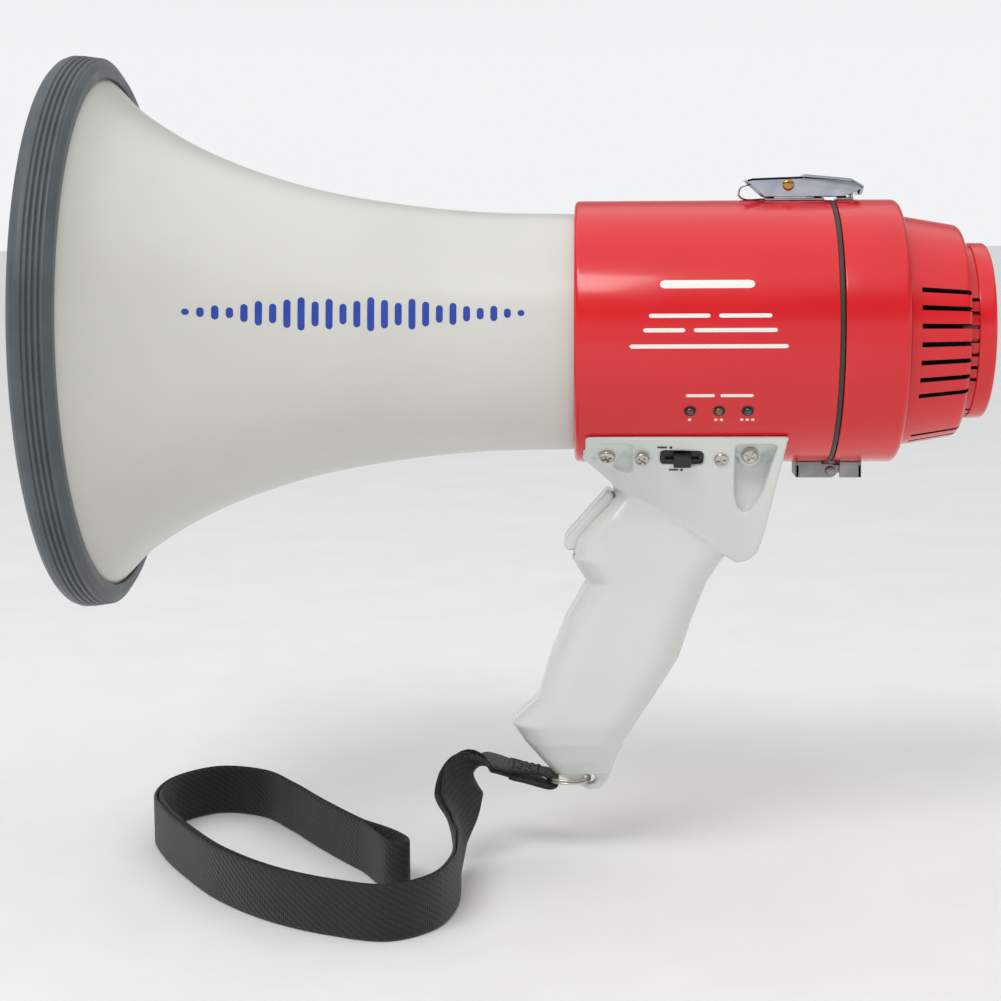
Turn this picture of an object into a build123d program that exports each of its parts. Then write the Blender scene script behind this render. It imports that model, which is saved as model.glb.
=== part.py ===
from build123d import *
import os
from math import atan2, cos, degrees, hypot, radians, sin, tan

# Handheld megaphone. Every part is drawn in the horn frame: X runs back along the horn axis from the
# front plane of the bell, Z is up and the axis is at Z = 0. place() then moves it so that the row's
# origin is at the middle of the hand grip. All sizes are millimetres.

os.makedirs("parts", exist_ok=True)

# ---- driving dimensions ---------------------------------------------------------------------------
GRIP_X, GRIP_Z = 208.0, -118.0          # middle of the hand grip, seen from the horn axis

RIM_R = 105.0                           # outside of the rubber rim guard
RIM_LENGTH = 15.6
BELL_WALL = 2.2
BELL_OUTLINE = [(8.0, 101.4), (14.0, 96.4), (24.0, 86.2), (36.0, 77.7), (50.0, 69.9), (70.0, 61.6),
                (95.0, 54.2), (125.0, 48.8), (155.0, 45.7), (192.0, 44.6)]
BELL_END = 194.0

BODY_R, BODY_WALL = 49.45, 2.5
BODY_START, BODY_END = 191.1, 286.3
GASKET_END = 288.0
COVER_START, COVER_END = 288.3, 312.0
COVER_WALL = 2.5
HOUSING_R0, HOUSING_R1 = 43.5, 39.8     # vented housing, front and back radius
HOUSING_END, NECK_END, RING_END = 335.0, 338.4, 345.0
NECK_R, END_RING_R, DISH_R = 32.2, 33.0, 29.6
SLOT_WIDTH, SLOT_PITCH, SLOT_COUNT = 1.6, 9.0, 7
SLOT_GROUPS = (184.0, 270.0, -4.0)      # middle of each group of slots, round the axis from +Y

THROAT_FRONT = 98.0
REFLECTOR_FRONT, REFLECTOR_BACK = 62.0, 150.0

CELL_R, CELL_LENGTH, CELL_RING, CELLS = 7.2, 50.5, 30.0, 8
CELL_START = 254.0

KNOB_Z, KNOB_R = 15.5, 7.4              # volume knob in the rear dish
SHAFT_R, SHAFT_GAP = 3.0, 0.04

LATCH_PIN_X, LATCH_PIN_Z, LATCH_PIN_R = 270.9, 54.9, 1.3
HINGE_X, HINGE_Z, HINGE_PIN_R, KNUCKLE_R = 287.9, -52.4, 1.25, 2.6
PIN_GAP = 0.04                          # radial running clearance of every pivot

SADDLE_TOP = -36.6
SADDLE_HALF, CREASE_HALF = 35.2, 15.0   # half width at the saddle's top edge and at its lower crease
CREASE_X, CREASE_Z, CREASE_SLOPE = 201.0, -54.7, -0.63
SHELL_WALL = 2.6
SEAT = 24.3                             # |Y| of the seats that the saddle screws' heads sit on
POCKET_FLOOR = 21.0                     # |Y| of the floors of the pockets round those seats
SADDLE_SCREWS = [(203.2, -44.4), (256.0, -44.4)]
SWITCH_X, SWITCH_Z = 230.9, -45.4
SWITCH_W, SWITCH_H, SWITCH_TRAVEL = 15.6, 6.4, 4.2
SWITCH_SCREWS_X = (216.2, 245.4)
TRIGGER_HALF = 10.0
TRIGGER_PIN = (208.6, -64.4)
LIGHT_X, LIGHT_Z, LIGHT_R = (233.2, 243.7, 254.1), -26.7, 1.5

EYELET = (196.9, -174.2)
EYELET_R, EYELET_HALF = 2.3, 3.0
RING_R, RING_WIRE = 8.6, 1.1            # split ring: mean radius, and radial thickness
WEB_WIDTH, WEB_DOUBLE = 20.0, 4.4       # webbing width, and the two legs of the strap together
FLOOR_Z = -205.0                        # surface that the strap lies on, below the horn axis

# Grip sections: height, front X, back X, half width.
GRIP_SECTIONS = [(-52.0, 207.0, 246.0, 13.5), (-61.0, 205.4, 250.0, 15.5), (-70.0, 197.6, 250.5, 17.4),
                 (-78.5, 190.2, 250.0, 18.3), (-86.0, 189.7, 248.0, 18.6), (-95.5, 195.8, 241.8, 18.4),
                 (-110.0, 187.5, 236.0, 18.0), (-125.0, 181.5, 231.2, 17.6), (-141.0, 176.8, 221.2, 17.3),
                 (-150.5, 166.4, 215.0, 17.2), (-158.0, 171.2, 210.4, 15.4), (-166.0, 178.0, 207.0, 11.0),
                 (-172.0, 183.2, 205.0, 5.6)]

# Strap route, the middle of its two legs, from the sewn tab to the loop's far end.
NECK_ROUTE = [(164.6, 0.0, -170.2), (155.0, -1.0, -167.6), (147.4, -6.0, -171.5), (145.4, -16.0, -182.0),
              (146.6, -30.0, -192.6), (148.0, -45.0, -195.0)]
LOOP_ROUTE = [(148.1, -46.2), (147.6, -70.0), (141.5, -92.0), (127.0, -104.0), (106.0, -98.0),
              (84.0, -84.5), (62.0, -62.0), (45.0, -36.0), (31.0, -10.0), (23.0, 13.0), (26.0, 38.0),
              (41.0, 54.0), (60.0, 48.5), (75.0, 29.0), (90.0, 4.5), (105.0, -18.0), (118.0, -36.0),
              (128.0, -53.0)]


# ---- helpers --------------------------------------------------------------------------------------
def place(shape):
    """Moves a shape from the horn frame to the row frame."""
    return Pos(-GRIP_X, 0, -GRIP_Z) * shape


def save(name, *shapes):
    solids = [solid for shape in shapes for solid in shape.solids()]
    moved = [place(solid) for solid in solids]
    export_step(moved[0] if len(moved) == 1 else Compound(children=moved), f"parts/{name}.step")


def turned(points):
    """Solid of revolution about the horn axis from (x, radius) points."""
    return revolve(make_face(Polyline(*points, close=True)), Axis.X, 360)


def lathe(*curves):
    """Solid of revolution about the horn axis from a closed chain of curves."""
    return revolve(make_face([edge for curve in curves for edge in curve.edges()]), Axis.X, 360)


def tube(x0, x1, outer, inner):
    return turned([(x0, inner), (x1, inner), (x1, outer), (x0, outer)])


def rod(x0, x1, radius, y=0.0, z=0.0):
    """Cylinder along X."""
    return Pos((x0 + x1) / 2, y, z) * Rot(0, 90, 0) * Cylinder(radius, x1 - x0)


def cross_rod(x, z, y0, y1, radius):
    """Cylinder along Y."""
    return Pos(x, (y0 + y1) / 2, z) * Rot(90, 0, 0) * Cylinder(radius, y1 - y0)


def block(x0, x1, y0, y1, z0, z1):
    return Pos((x0 + x1) / 2, (y0 + y1) / 2, (z0 + z1) / 2) * Box(x1 - x0, y1 - y0, z1 - z0)


def side_prism(points, y0, y1):
    """Extrudes an (x, z) outline from y0 to y1."""
    face = make_face(Polyline(*[(x, 0, z) for x, z in points], close=True))
    return Pos(0, y1, 0) * extrude(face, amount=y1 - y0, dir=(0, -1, 0))


def both_sides(shape):
    return shape + mirror(shape, Plane.XZ)


def largest(shape):
    return max(shape.solids(), key=lambda solid: solid.volume)


def pan_screw(head_r, head_h, shank_r, length):
    """Pan head screw: its head sits on the XY plane and points to +Z."""
    head = Pos(0, 0, head_h / 2) * Cylinder(head_r, head_h)
    head = fillet(head.edges().group_by(Axis.Z)[-1], head_h * 0.45)
    cross = Box(head_r * 1.3, head_r * 0.32, head_h) + Box(head_r * 0.32, head_r * 1.3, head_h)
    return head + Pos(0, 0, -length / 2) * Cylinder(shank_r, length) - Pos(0, 0, head_h) * cross


def saddle_half(x, z):
    """Half width of the saddle's side face, which is ruled from its top edge to its crease."""
    crease = CREASE_Z + CREASE_SLOPE * (x - CREASE_X)
    share = (SADDLE_TOP - z) / (SADDLE_TOP - crease)
    return SADDLE_HALF + (CREASE_HALF - SADDLE_HALF) * share


def bend_radii(points, share=0.45):
    """Largest tangent arc for each corner of a route."""
    radii = []
    for before, corner, after in zip(points, points[1:], points[2:]):
        run_in, run_out = Vector(*corner) - Vector(*before), Vector(*after) - Vector(*corner)
        turn = radians(run_in.get_angle(run_out))
        radii.append(share * min(run_in.length, run_out.length) / tan(turn / 2))
    return radii


# ---- horn -----------------------------------------------------------------------------------------
def offset_outline(points, distance):
    """Moves an outline inwards along its own normals."""
    moved = []
    for i, (x, r) in enumerate(points):
        (x0, r0), (x1, r1) = points[max(i - 1, 0)], points[min(i + 1, len(points) - 1)]
        length = hypot(x1 - x0, r1 - r0)
        moved.append((x + distance * (r1 - r0) / length, r - distance * (x1 - x0) / length))
    return moved


def horn_bell():
    outer = Spline(*BELL_OUTLINE)
    inner = Spline(*offset_outline(BELL_OUTLINE, BELL_WALL))
    inner_end = inner @ 1
    back = Polyline(outer @ 1, (BELL_END, BELL_OUTLINE[-1][1]), (BELL_END, 12.0), (BELL_END - 2.4, 12.0),
                    (BELL_END - 2.4, inner_end.Y - 4.0), inner_end)
    lip = Line(inner @ 0, outer @ 0)
    return lathe(outer, back, inner, lip)


def rim_guard(bell):
    ribs = []
    for i in range(4):
        x, crest = 6.2 + 1.95 * i, RIM_R - 0.15 - 0.28 * i
        ribs += [(x, crest - 0.9), (x + 0.45, crest), (x + 1.2, crest), (x + 1.6, crest - 1.0)]
    front = [(2.6, 96.8), (1.0, 97.8), (0.0, 99.6), (0.0, 101.2), (0.6, 102.9), (2.0, 104.3), (4.0, RIM_R),
             (5.7, RIM_R - 0.1)]
    tail = [(14.2, 102.6), (RIM_LENGTH, 100.4), (RIM_LENGTH, 96.6), (12.0, 96.6), (7.2, 99.0), (6.0, 98.4)]
    return turned(front + ribs + tail) - bell


def reflector(throat):
    outline = [(REFLECTOR_FRONT, 0.0), (REFLECTOR_FRONT + 0.8, 8.0), (REFLECTOR_FRONT + 4.2, 16.5),
               (REFLECTOR_FRONT + 12.0, 23.5), (90.0, 28.0), (118.0, 30.6), (REFLECTOR_BACK, 32.0)]
    outer = Spline(*outline)
    inner = Spline(*[(x + 1.9, max(r - 1.9, 0.0)) if r > 0 else (x + 1.9, 0.0) for x, r in outline[:-1]],
                   (REFLECTOR_BACK, 30.1))
    closing = Line(outer @ 1, inner @ 1)
    bowl = lathe(outer, closing, inner, Line(inner @ 0, outer @ 0))
    ribs = [Rot(angle, 0, 0) * block(122, 146, -0.9, 0.9, 12.6, 31.0) for angle in (30, 150, 270)]
    return bowl + ribs - throat


def throat_tube():
    return turned([(THROAT_FRONT, 13.2), (191.5, 8.6), (191.5, 24.0), (189.2, 24.0), (187.2, 11.4),
                   (THROAT_FRONT, 15.0)])


# ---- driver ---------------------------------------------------------------------------------------
def driver_parts():
    """Compression driver behind the throat, from its front housing to its yoke."""
    housing = turned([(194.1, 8.6), (197.0, 9.4), (202.0, 24.0), (204.0, 29.0), (205.6, 29.0), (205.6, 36.0),
                      (196.0, 36.0), (194.1, 33.0)])
    dome = turned([(201.2, 0.0), (202.2, 6.0), (204.4, 10.5), (206.6, 12.9), (205.8, 18.0), (206.4, 24.0),
                   (205.7, 29.5), (205.7, 35.5), (206.2, 35.5), (206.2, 29.7), (207.0, 24.0), (206.5, 18.0),
                   (207.2, 12.9), (206.6, 12.1), (204.9, 10.1), (202.8, 5.7), (201.8, 0.0)])
    coil = tube(207.3, 214.5, 13.1, 12.4)
    front_plate = turned([(207.2, 25.5), (206.3, 29.8), (206.3, 35.5), (212.0, 35.5), (212.0, 13.6), (207.8, 13.6)])
    magnet = tube(212.0, 224.0, 37.0, 17.0)
    yoke = turned([(208.0, 0.0), (208.0, 11.9), (224.0, 11.9), (224.0, 34.0), (229.0, 32.5), (229.0, 0.0)])
    return {"driver_housing": housing, "diaphragm": dome, "voice_coil": coil, "front_plate": front_plate,
            "magnet": magnet, "yoke": yoke}


# ---- body -----------------------------------------------------------------------------------------
def light_axis(x):
    """Place of a battery light: on the body wall, pointing out along the radius."""
    return Location((x, 0, 0)) * Rot(90 + degrees(atan2(-LIGHT_Z, 41.6)), 0, 0) * Pos(0, 0, BODY_R)


def body_tube(screws):
    inner = BODY_R - BODY_WALL
    shell = turned([(BODY_START, 44.9), (BODY_START, BODY_R - 1.8), (BODY_START + 0.6, BODY_R - 0.6),
                    (BODY_START + 1.8, BODY_R), (BODY_END, BODY_R), (BODY_END, inner),
                    (BODY_START + 2.6, inner), (BODY_START + 2.6, 44.9)])
    bore = rod(BODY_START - 1, BODY_END, BODY_R - 0.6)
    for x, z in SADDLE_SCREWS:
        shell += both_sides(block(x - 4, x + 4, 10, 27, z - 5, z + 4)) & bore
    for angle in (45, 135, 225, 315):
        shell += Rot(angle, 0, 0) * block(231.0, 233.4, -4, 4, 40, inner + 0.5)
    for x in LIGHT_X:
        shell -= light_axis(x) * Cylinder(LIGHT_R + 0.02, 14)
    shell -= Pos(230.9, 0, -47) * Box(12, 12, 10)
    for x, z in SADDLE_SCREWS:
        shell -= both_sides(cross_rod(x, z, SEAT, 40, 3.5))
    for screw in screws:
        shell -= screw
    return largest(shell)


def bulkhead():
    plate = rod(233.5, 236.0, BODY_R - BODY_WALL - 0.1)
    for angle in (45, 135, 225, 315):
        plate -= Rot(angle, 0, 0) * rod(230, 240, 1.6, 0, 43.0)
    plate -= light_axis(LIGHT_X[1]) * Pos(0, 0, -4.0) * Box(36, 9.4, 14)
    return plate - rod(230, 240, 4.0, 0, -30) + tube(236.0, 239.4, 6.0, 3.0)


def amplifier_board():
    board = rod(239.5, 241.1, 41.0) - block(230, 250, -45, 45, 34, 50) - rod(230, 250, 3.0)
    for y, z in ((-28, -20), (28, -20), (-28, 22), (28, 22)):
        board -= rod(230, 250, 1.6, y, z)
    return board


def board_components():
    """Output stage on its heat sink, smoothing capacitors, siren chips and the plug headers."""
    x = 241.1
    parts = [block(x, x + 7.5, -16, 16, 22, 24.4)]
    parts += [block(x, x + 7.5, y - 0.8, y + 0.8, 24.4, 31.0) for y in (-14, -7, 0, 7, 14)]
    sink = parts[0]
    for fin in parts[1:]:
        sink += fin
    capacitors = [rod(x, x + h, r, y, z) for h, r, y, z in ((8.8, 5.0, -24, 4), (8.8, 5.0, -24, -8),
                                                             (7.0, 3.2, -12, -22), (7.0, 3.2, 24, -8))]
    chips = [block(x, x + 3.4, y - w / 2, y + w / 2, z - 3.2, z + 3.2) for y, z, w in ((8, 8, 19), (10, -6, 10),
                                                                                   (-9, 8, 8))]
    headers = [block(x, x + 6.0, y - 5, y + 5, z - 2.9, z + 2.9) for y, z in ((0, -30), (18, -28), (26, 8))]
    return [sink] + capacitors + chips + headers


def light_parts():
    lights = []
    for x in LIGHT_X:
        at = light_axis(x)
        stem = at * (Pos(0, 0, -3.4) * Cylinder(LIGHT_R, 6.8))
        dome = at * (Sphere(LIGHT_R) & Pos(0, 0, LIGHT_R / 2) * Box(4, 4, LIGHT_R))
        lights.append(stem + dome)
    return lights


def light_board():
    at = light_axis(LIGHT_X[1])
    return at * (Pos(0, 0, -7.6) * Box(30, 8, 1.4))


# ---- power ----------------------------------------------------------------------------------------
def cell_places():
    return [(CELL_RING * cos(radians(45 * i + 22.5)), CELL_RING * sin(radians(45 * i + 22.5)))
            for i in range(CELLS)]


def battery_holder(cells):
    end = CELL_START + CELL_LENGTH
    holder = rod(CELL_START - 2.4, CELL_START - 1.0, 40.0) + rod(end + 1.2, end + 2.8, 40.0)
    holder += rod(CELL_START - 2.0, end + 2.0, 24.5) - rod(CELL_START - 3, end + 3, 13.0)
    for y, z in cell_places():
        holder -= rod(CELL_START - 1.0, end + 1.2, CELL_R + 0.25, y, z)
    return holder


def cell(y, z):
    end = CELL_START + CELL_LENGTH
    can = rod(CELL_START, end - 1.2, CELL_R, y, z)
    can = fillet(can.edges(), 0.5)
    return can + rod(end - 1.3, end, 2.7, y, z)


def cell_contacts():
    end = CELL_START + CELL_LENGTH
    return [rod(CELL_START - 1.0, CELL_START, 3.2, y, z) for y, z in cell_places()] + \
           [rod(end, end + 1.2, 3.6, y, z) for y, z in cell_places()]


# ---- rear cover and microphone housing ------------------------------------------------------------
def rear_cover():
    inner = BODY_R - COVER_WALL
    return turned([(COVER_START, inner), (COVER_START, BODY_R), (COVER_END - 2.2, BODY_R),
                   (COVER_END - 0.7, BODY_R - 0.6), (COVER_END, BODY_R - 2.0), (COVER_END, 22.0),
                   (COVER_END - 2.2, 22.0), (COVER_END - 2.2, inner)])


def mic_housing(screws):
    wall = 2.2
    shell = turned([(COVER_END, HOUSING_R0 - 6.0), (COVER_END, HOUSING_R0), (HOUSING_END - 3.2, HOUSING_R1),
                    (HOUSING_END - 0.9, HOUSING_R1 - 0.9), (HOUSING_END, HOUSING_R1 - 3.2),
                    (HOUSING_END, NECK_R), (NECK_END, NECK_R), (NECK_END, NECK_R - 2.0),
                    (HOUSING_END - wall, NECK_R - 2.0), (HOUSING_END - wall, HOUSING_R1 - 3.4),
                    (COVER_END + wall, HOUSING_R0 - wall), (COVER_END + wall, HOUSING_R0 - 6.0)])
    slot = block(COVER_END + wall, NECK_END - 0.9, 26, 50, -SLOT_WIDTH / 2, SLOT_WIDTH / 2)
    for group in SLOT_GROUPS:
        for i in range(SLOT_COUNT):
            shell -= Rot(group + SLOT_PITCH * (i - (SLOT_COUNT - 1) / 2), 0, 0) * slot
    for screw in screws:
        shell -= screw
    return shell


def end_ring():
    return turned([(NECK_END, NECK_R - 2.0), (NECK_END, END_RING_R), (RING_END - 1.6, END_RING_R),
                   (RING_END - 0.5, END_RING_R - 0.5), (RING_END, END_RING_R - 1.6), (RING_END, DISH_R + 0.6),
                   (RING_END - 0.6, DISH_R), (HOUSING_END - 2.2, DISH_R), (HOUSING_END - 2.2, NECK_R - 2.0)])


def mic_grille():
    disc = Circle(DISH_R) - Pos(-KNOB_Z, 0) * Circle(SHAFT_R + 1.2) - Circle(1.05)
    for ring in range(1, 9):
        for i in range(6 * ring):
            angle = radians(60.0 * i / ring)
            u, v = 3.2 * ring * cos(angle), 3.2 * ring * sin(angle)
            if hypot(u + KNOB_Z, v) > KNOB_R + 2.2:
                disc -= Pos(u, v) * Circle(1.05)
    return Pos(338.6, 0, 0) * Rot(0, 90, 0) * extrude(disc, amount=1.4)


def mic_foam():
    return rod(335.8, 338.5, DISH_R - 1.0) - rod(335, 339, SHAFT_R + 1.2, 0, KNOB_Z)


def mic_capsule():
    return rod(326.0, 335.7, 8.5, 0, -6.0) + tube(324.5, 326.0, 4.0, 0.8).moved(Location((0, 0, -6.0)))


def volume_pot():
    pot = rod(318.0, 328.0, 8.2, 0, KNOB_Z) + rod(328.0, 335.0, 4.6, 0, KNOB_Z)
    return pot - rod(324.0, 336.0, SHAFT_R + SHAFT_GAP, 0, KNOB_Z)


def volume_knob():
    knob = rod(340.8, 344.6, KNOB_R, 0, KNOB_Z)
    for i in range(18):
        angle = radians(20 * i)
        knob -= rod(340, 345, 0.55, (KNOB_R + 0.2) * cos(angle), KNOB_Z + (KNOB_R + 0.2) * sin(angle))
    knob -= block(344.2, 345, -0.5, 0.5, KNOB_Z + 1.5, KNOB_Z + 6.4)
    return knob + rod(325.0, 341.0, SHAFT_R, 0, KNOB_Z)


def housing_screws():
    """Four screws that hold the vented housing to the cover, from inside the cover."""
    screw = Rot(0, -90, 0) * pan_screw(2.6, 1.6, 1.25, 3.8)
    return [Rot(angle, 0, 0) * (Pos(COVER_END - 2.2, 0, 40.4) * screw) for angle in (45, 135, 225, 315)]


# ---- latch ----------------------------------------------------------------------------------------
def saddle_plate(x0, x1, half, thick):
    """Plate bent to the body's radius on top of it."""
    return tube(x0, x1, BODY_R + thick, BODY_R) & block(x0, x1, -half, half, 40, 60)


def latch_base(rivets):
    base = saddle_plate(262.4, 284.5, 6.1, 0.9)
    ear = side_prism([(265.5, 49.2), (279.0, 49.2), (276.5, 53.0), (273.6, 56.3), (268.8, 56.3), (266.0, 53.0)],
                     5.0, 6.0)
    base += both_sides(ear)
    base -= cross_rod(LATCH_PIN_X, LATCH_PIN_Z, -8, 8, LATCH_PIN_R + PIN_GAP)
    for rivet in rivets:
        base -= rivet
    return base


def latch_lever():
    outline = [(254.9, 56.9), (257.6, 57.5), (276.5, 58.1), (294.6, 56.5), (299.0, 53.9), (294.8, 51.6),
               (291.4, 50.6), (262.2, 50.6)]
    lever = both_sides(side_prism(outline, 6.4, 7.4))
    lever += side_prism([(254.9, 56.9), (257.6, 57.5), (276.5, 58.1), (276.5, 57.1), (257.8, 56.5),
                         (255.9, 56.1)], -7.4, 7.4)
    lever += side_prism([(276.5, 57.1), (276.5, 58.9), (294.2, 57.2), (298.8, 54.6), (299.0, 53.9), (298.2, 51.2),
                         (297.2, 51.2), (297.8, 54.0), (293.8, 56.2)], -7.4, 7.4)
    return lever - cross_rod(LATCH_PIN_X, LATCH_PIN_Z, -8, 8, LATCH_PIN_R)


def latch_pin():
    pin = cross_rod(LATCH_PIN_X, LATCH_PIN_Z, -7.4, 7.4, LATCH_PIN_R)
    for side in (-1, 1):
        head = cross_rod(LATCH_PIN_X, LATCH_PIN_Z, min(7.4 * side, 8.5 * side), max(7.4 * side, 8.5 * side), 2.2)
        pin += head
    return pin


def latch_spring():
    """Leaf spring that pushes the press end of the lever up."""
    path = FilletPolyline((262.3, 0, 49.8), (252.8, 0, 49.8), (253.6, 0, 54.2), (257.4, 0, 55.3), radius=1.3)
    section = Plane(origin=path @ 0, x_dir=(0, 1, 0), z_dir=path % 0) * Rectangle(8.0, 0.5)
    return sweep(section, path=path)


def latch_keeper(rivets):
    keeper = saddle_plate(289.4, 295.4, 5.5, 0.9)
    keeper += block(294.4, 295.4, -4.4, 4.4, 49.4, 53.5) - rod(289, 297, BODY_R)
    for rivet in rivets:
        keeper -= rivet
    return keeper


def top_rivet(x, y):
    angle = degrees(atan2(y, BODY_R))
    rivet = Pos(0, 0, BODY_R + 0.9) * (Sphere(1.5) & Pos(0, 0, 0.4) * Box(4, 4, 0.8))
    rivet += Pos(0, 0, BODY_R - 1.2) * Cylinder(0.8, 4.2)
    return Pos(x, 0, 0) * Rot(-angle, 0, 0) * rivet


# ---- hinge ----------------------------------------------------------------------------------------
HINGE_HALF, LEAF_THICK = 8.2, 1.2
HINGE_LOW = HINGE_Z - KNUCKLE_R


def hinge_body_leaf(rivets):
    x0, x1 = 275.0, 284.6
    leaf = tube(x0, x1, BODY_R + LEAF_THICK, BODY_R) & block(x0, x1, -HINGE_HALF, HINGE_HALF, -60, -40)
    ear = side_prism([(x0, HINGE_LOW), (x0, -48.8), (x1, -48.8), (x1, HINGE_Z + KNUCKLE_R),
                      (HINGE_X, HINGE_Z + KNUCKLE_R), (HINGE_X, HINGE_LOW)], HINGE_HALF - LEAF_THICK, HINGE_HALF)
    ear += cross_rod(HINGE_X, HINGE_Z, HINGE_HALF - LEAF_THICK, HINGE_HALF, KNUCKLE_R)
    leaf += both_sides(ear - rod(x0 - 1, x1 + 8, BODY_R))
    leaf += block(x0, x0 + 1.2, -HINGE_HALF, HINGE_HALF, HINGE_LOW, -50.2)
    leaf -= cross_rod(HINGE_X, HINGE_Z, -9, 9, HINGE_PIN_R + PIN_GAP)
    for rivet in rivets:
        leaf -= rivet
    return leaf


def hinge_cover_leaf(rivets):
    x0, x1 = 291.4, 299.6
    leaf = tube(x0, x1, BODY_R + LEAF_THICK, BODY_R) & block(x0, x1, -HINGE_HALF, HINGE_HALF, -60, -40)
    cheek = block(x0, x1, HINGE_HALF - LEAF_THICK, HINGE_HALF, HINGE_LOW, -48.8) - rod(x0 - 1, x1 + 1, BODY_R)
    leaf += both_sides(cheek)
    leaf += block(x1 - 1.2, x1, -HINGE_HALF, HINGE_HALF, HINGE_LOW, -50.2)
    inside = HINGE_HALF - LEAF_THICK - 0.35
    tongue = side_prism([(HINGE_X, HINGE_Z - 0.7), (HINGE_X, HINGE_Z + 1.9), (x0, -50.3), (x0 + 1.2, -50.3),
                         (x0 + 1.2, HINGE_Z - 0.7)], -inside, inside)
    leaf += tongue + cross_rod(HINGE_X, HINGE_Z, -inside, inside, 2.2)
    leaf -= cross_rod(HINGE_X, HINGE_Z, -9, 9, HINGE_PIN_R + PIN_GAP)
    for rivet in rivets:
        leaf -= rivet
    return leaf


def hinge_pin():
    pin = cross_rod(HINGE_X, HINGE_Z, -8.9, 8.9, HINGE_PIN_R)
    return pin


def hinge_rivet(x, y):
    rivet = Pos(0, 0, BODY_R + LEAF_THICK) * (Sphere(1.5) & Pos(0, 0, 0.4) * Box(4, 4, 0.8))
    rivet += Pos(0, 0, BODY_R - 0.6) * Cylinder(0.8, 3.6)
    return Pos(x, 0, 0) * Rot(180 + degrees(atan2(y, BODY_R)), 0, 0) * rivet


# ---- handle ---------------------------------------------------------------------------------------
def grip_loft(shrink):
    """Grip outside, or the cavity inside it when the sections shrink by a wall."""
    faces = []
    for z, front, back, half in GRIP_SECTIONS:
        front, back, half = front + shrink, back - shrink, half - shrink
        if half < 2.0:
            continue
        corner = half * 0.72
        section = Pos((front + back) / 2, 0, z) * RectangleRounded(back - front, 2 * half, corner)
        faces.append(section.face())
    return loft(faces, ruled=True)


def below_crease(raise_by):
    """Half space under the crease line between the saddle and the grip."""
    z_at = CREASE_Z + raise_by
    return side_prism([(150, z_at + CREASE_SLOPE * (150 - CREASE_X)), (280, z_at + CREASE_SLOPE * (280 - CREASE_X)),
                       (280, -190), (150, -190)], -45, 45)


def saddle_wedge(shrink):
    """Solid between the saddle's two ruled side faces."""
    x0, x1, top = 180.0, 285.0, SADDLE_TOP
    def crease(x):
        return CREASE_Z + CREASE_SLOPE * (x - CREASE_X)
    half_top, half_low = SADDLE_HALF - shrink, CREASE_HALF - shrink
    top_face = make_face(Polyline((x0, -half_top, top), (x1, -half_top, top), (x1, half_top, top),
                                  (x0, half_top, top), close=True))
    low_face = make_face(Polyline((x0, -half_low, crease(x0)), (x1, -half_low, crease(x1)),
                                  (x1, half_low, crease(x1)), (x0, half_low, crease(x0)), close=True))
    return loft([top_face, low_face], ruled=True)


SADDLE_SIDE = [(196.4, -30.0), (193.8, -46.0), (205.2, -56.3), (205.6, -62.0), (236.0, -82.0), (243.6, -92.5),
               (248.0, -88.0), (257.0, -85.6), (260.0, -82.6), (262.0, -76.0), (270.0, -36.0), (270.6, -30.0)]
SADDLE_CAVITY = [(201.0, -30.0), (200.0, -47.0), (208.4, -55.0), (209.0, -61.0), (238.0, -79.0), (246.0, -84.0),
                 (255.0, -82.6), (258.6, -76.0), (266.0, -36.0), (266.6, -30.0)]


def switch_plane():
    """Plane on the saddle's side face at the mode switch, its Z pointing out of the face."""
    y = -saddle_half(SWITCH_X, SWITCH_Z)
    tilt = degrees(atan2(saddle_half(SWITCH_X, SWITCH_Z + 1) - saddle_half(SWITCH_X, SWITCH_Z - 1), 2.0))
    return Location((SWITCH_X, y, SWITCH_Z)) * Rot(90 + tilt, 0, 0)


def saddle_screws():
    """Four pan head screws that hold the saddle to the body, two on each side."""
    screw = pan_screw(3.1, 2.1, 1.5, 9.5)
    near = [Pos(x, -SEAT, z) * Rot(90, 0, 0) * screw for x, z in SADDLE_SCREWS]
    far = [Pos(x, SEAT, z) * Rot(-90, 0, 0) * screw for x, z in SADDLE_SCREWS]
    return near + far


def switch_screws():
    screw = pan_screw(2.7, 1.5, 1.2, 4.4)
    plane = switch_plane()
    return [plane * Pos(x - SWITCH_X, 0, 0.1) * screw for x in SWITCH_SCREWS_X]


HANDLE_SCREWS = [(238.0, -76.0), (214.0, -112.0), (196.0, -152.0)]


def handle_screws():
    screw = Rot(-90, 0, 0) * pan_screw(2.9, 1.8, 1.4, 16.0)
    return [Pos(x, 9.5, z) * screw for x, z in HANDLE_SCREWS]


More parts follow.
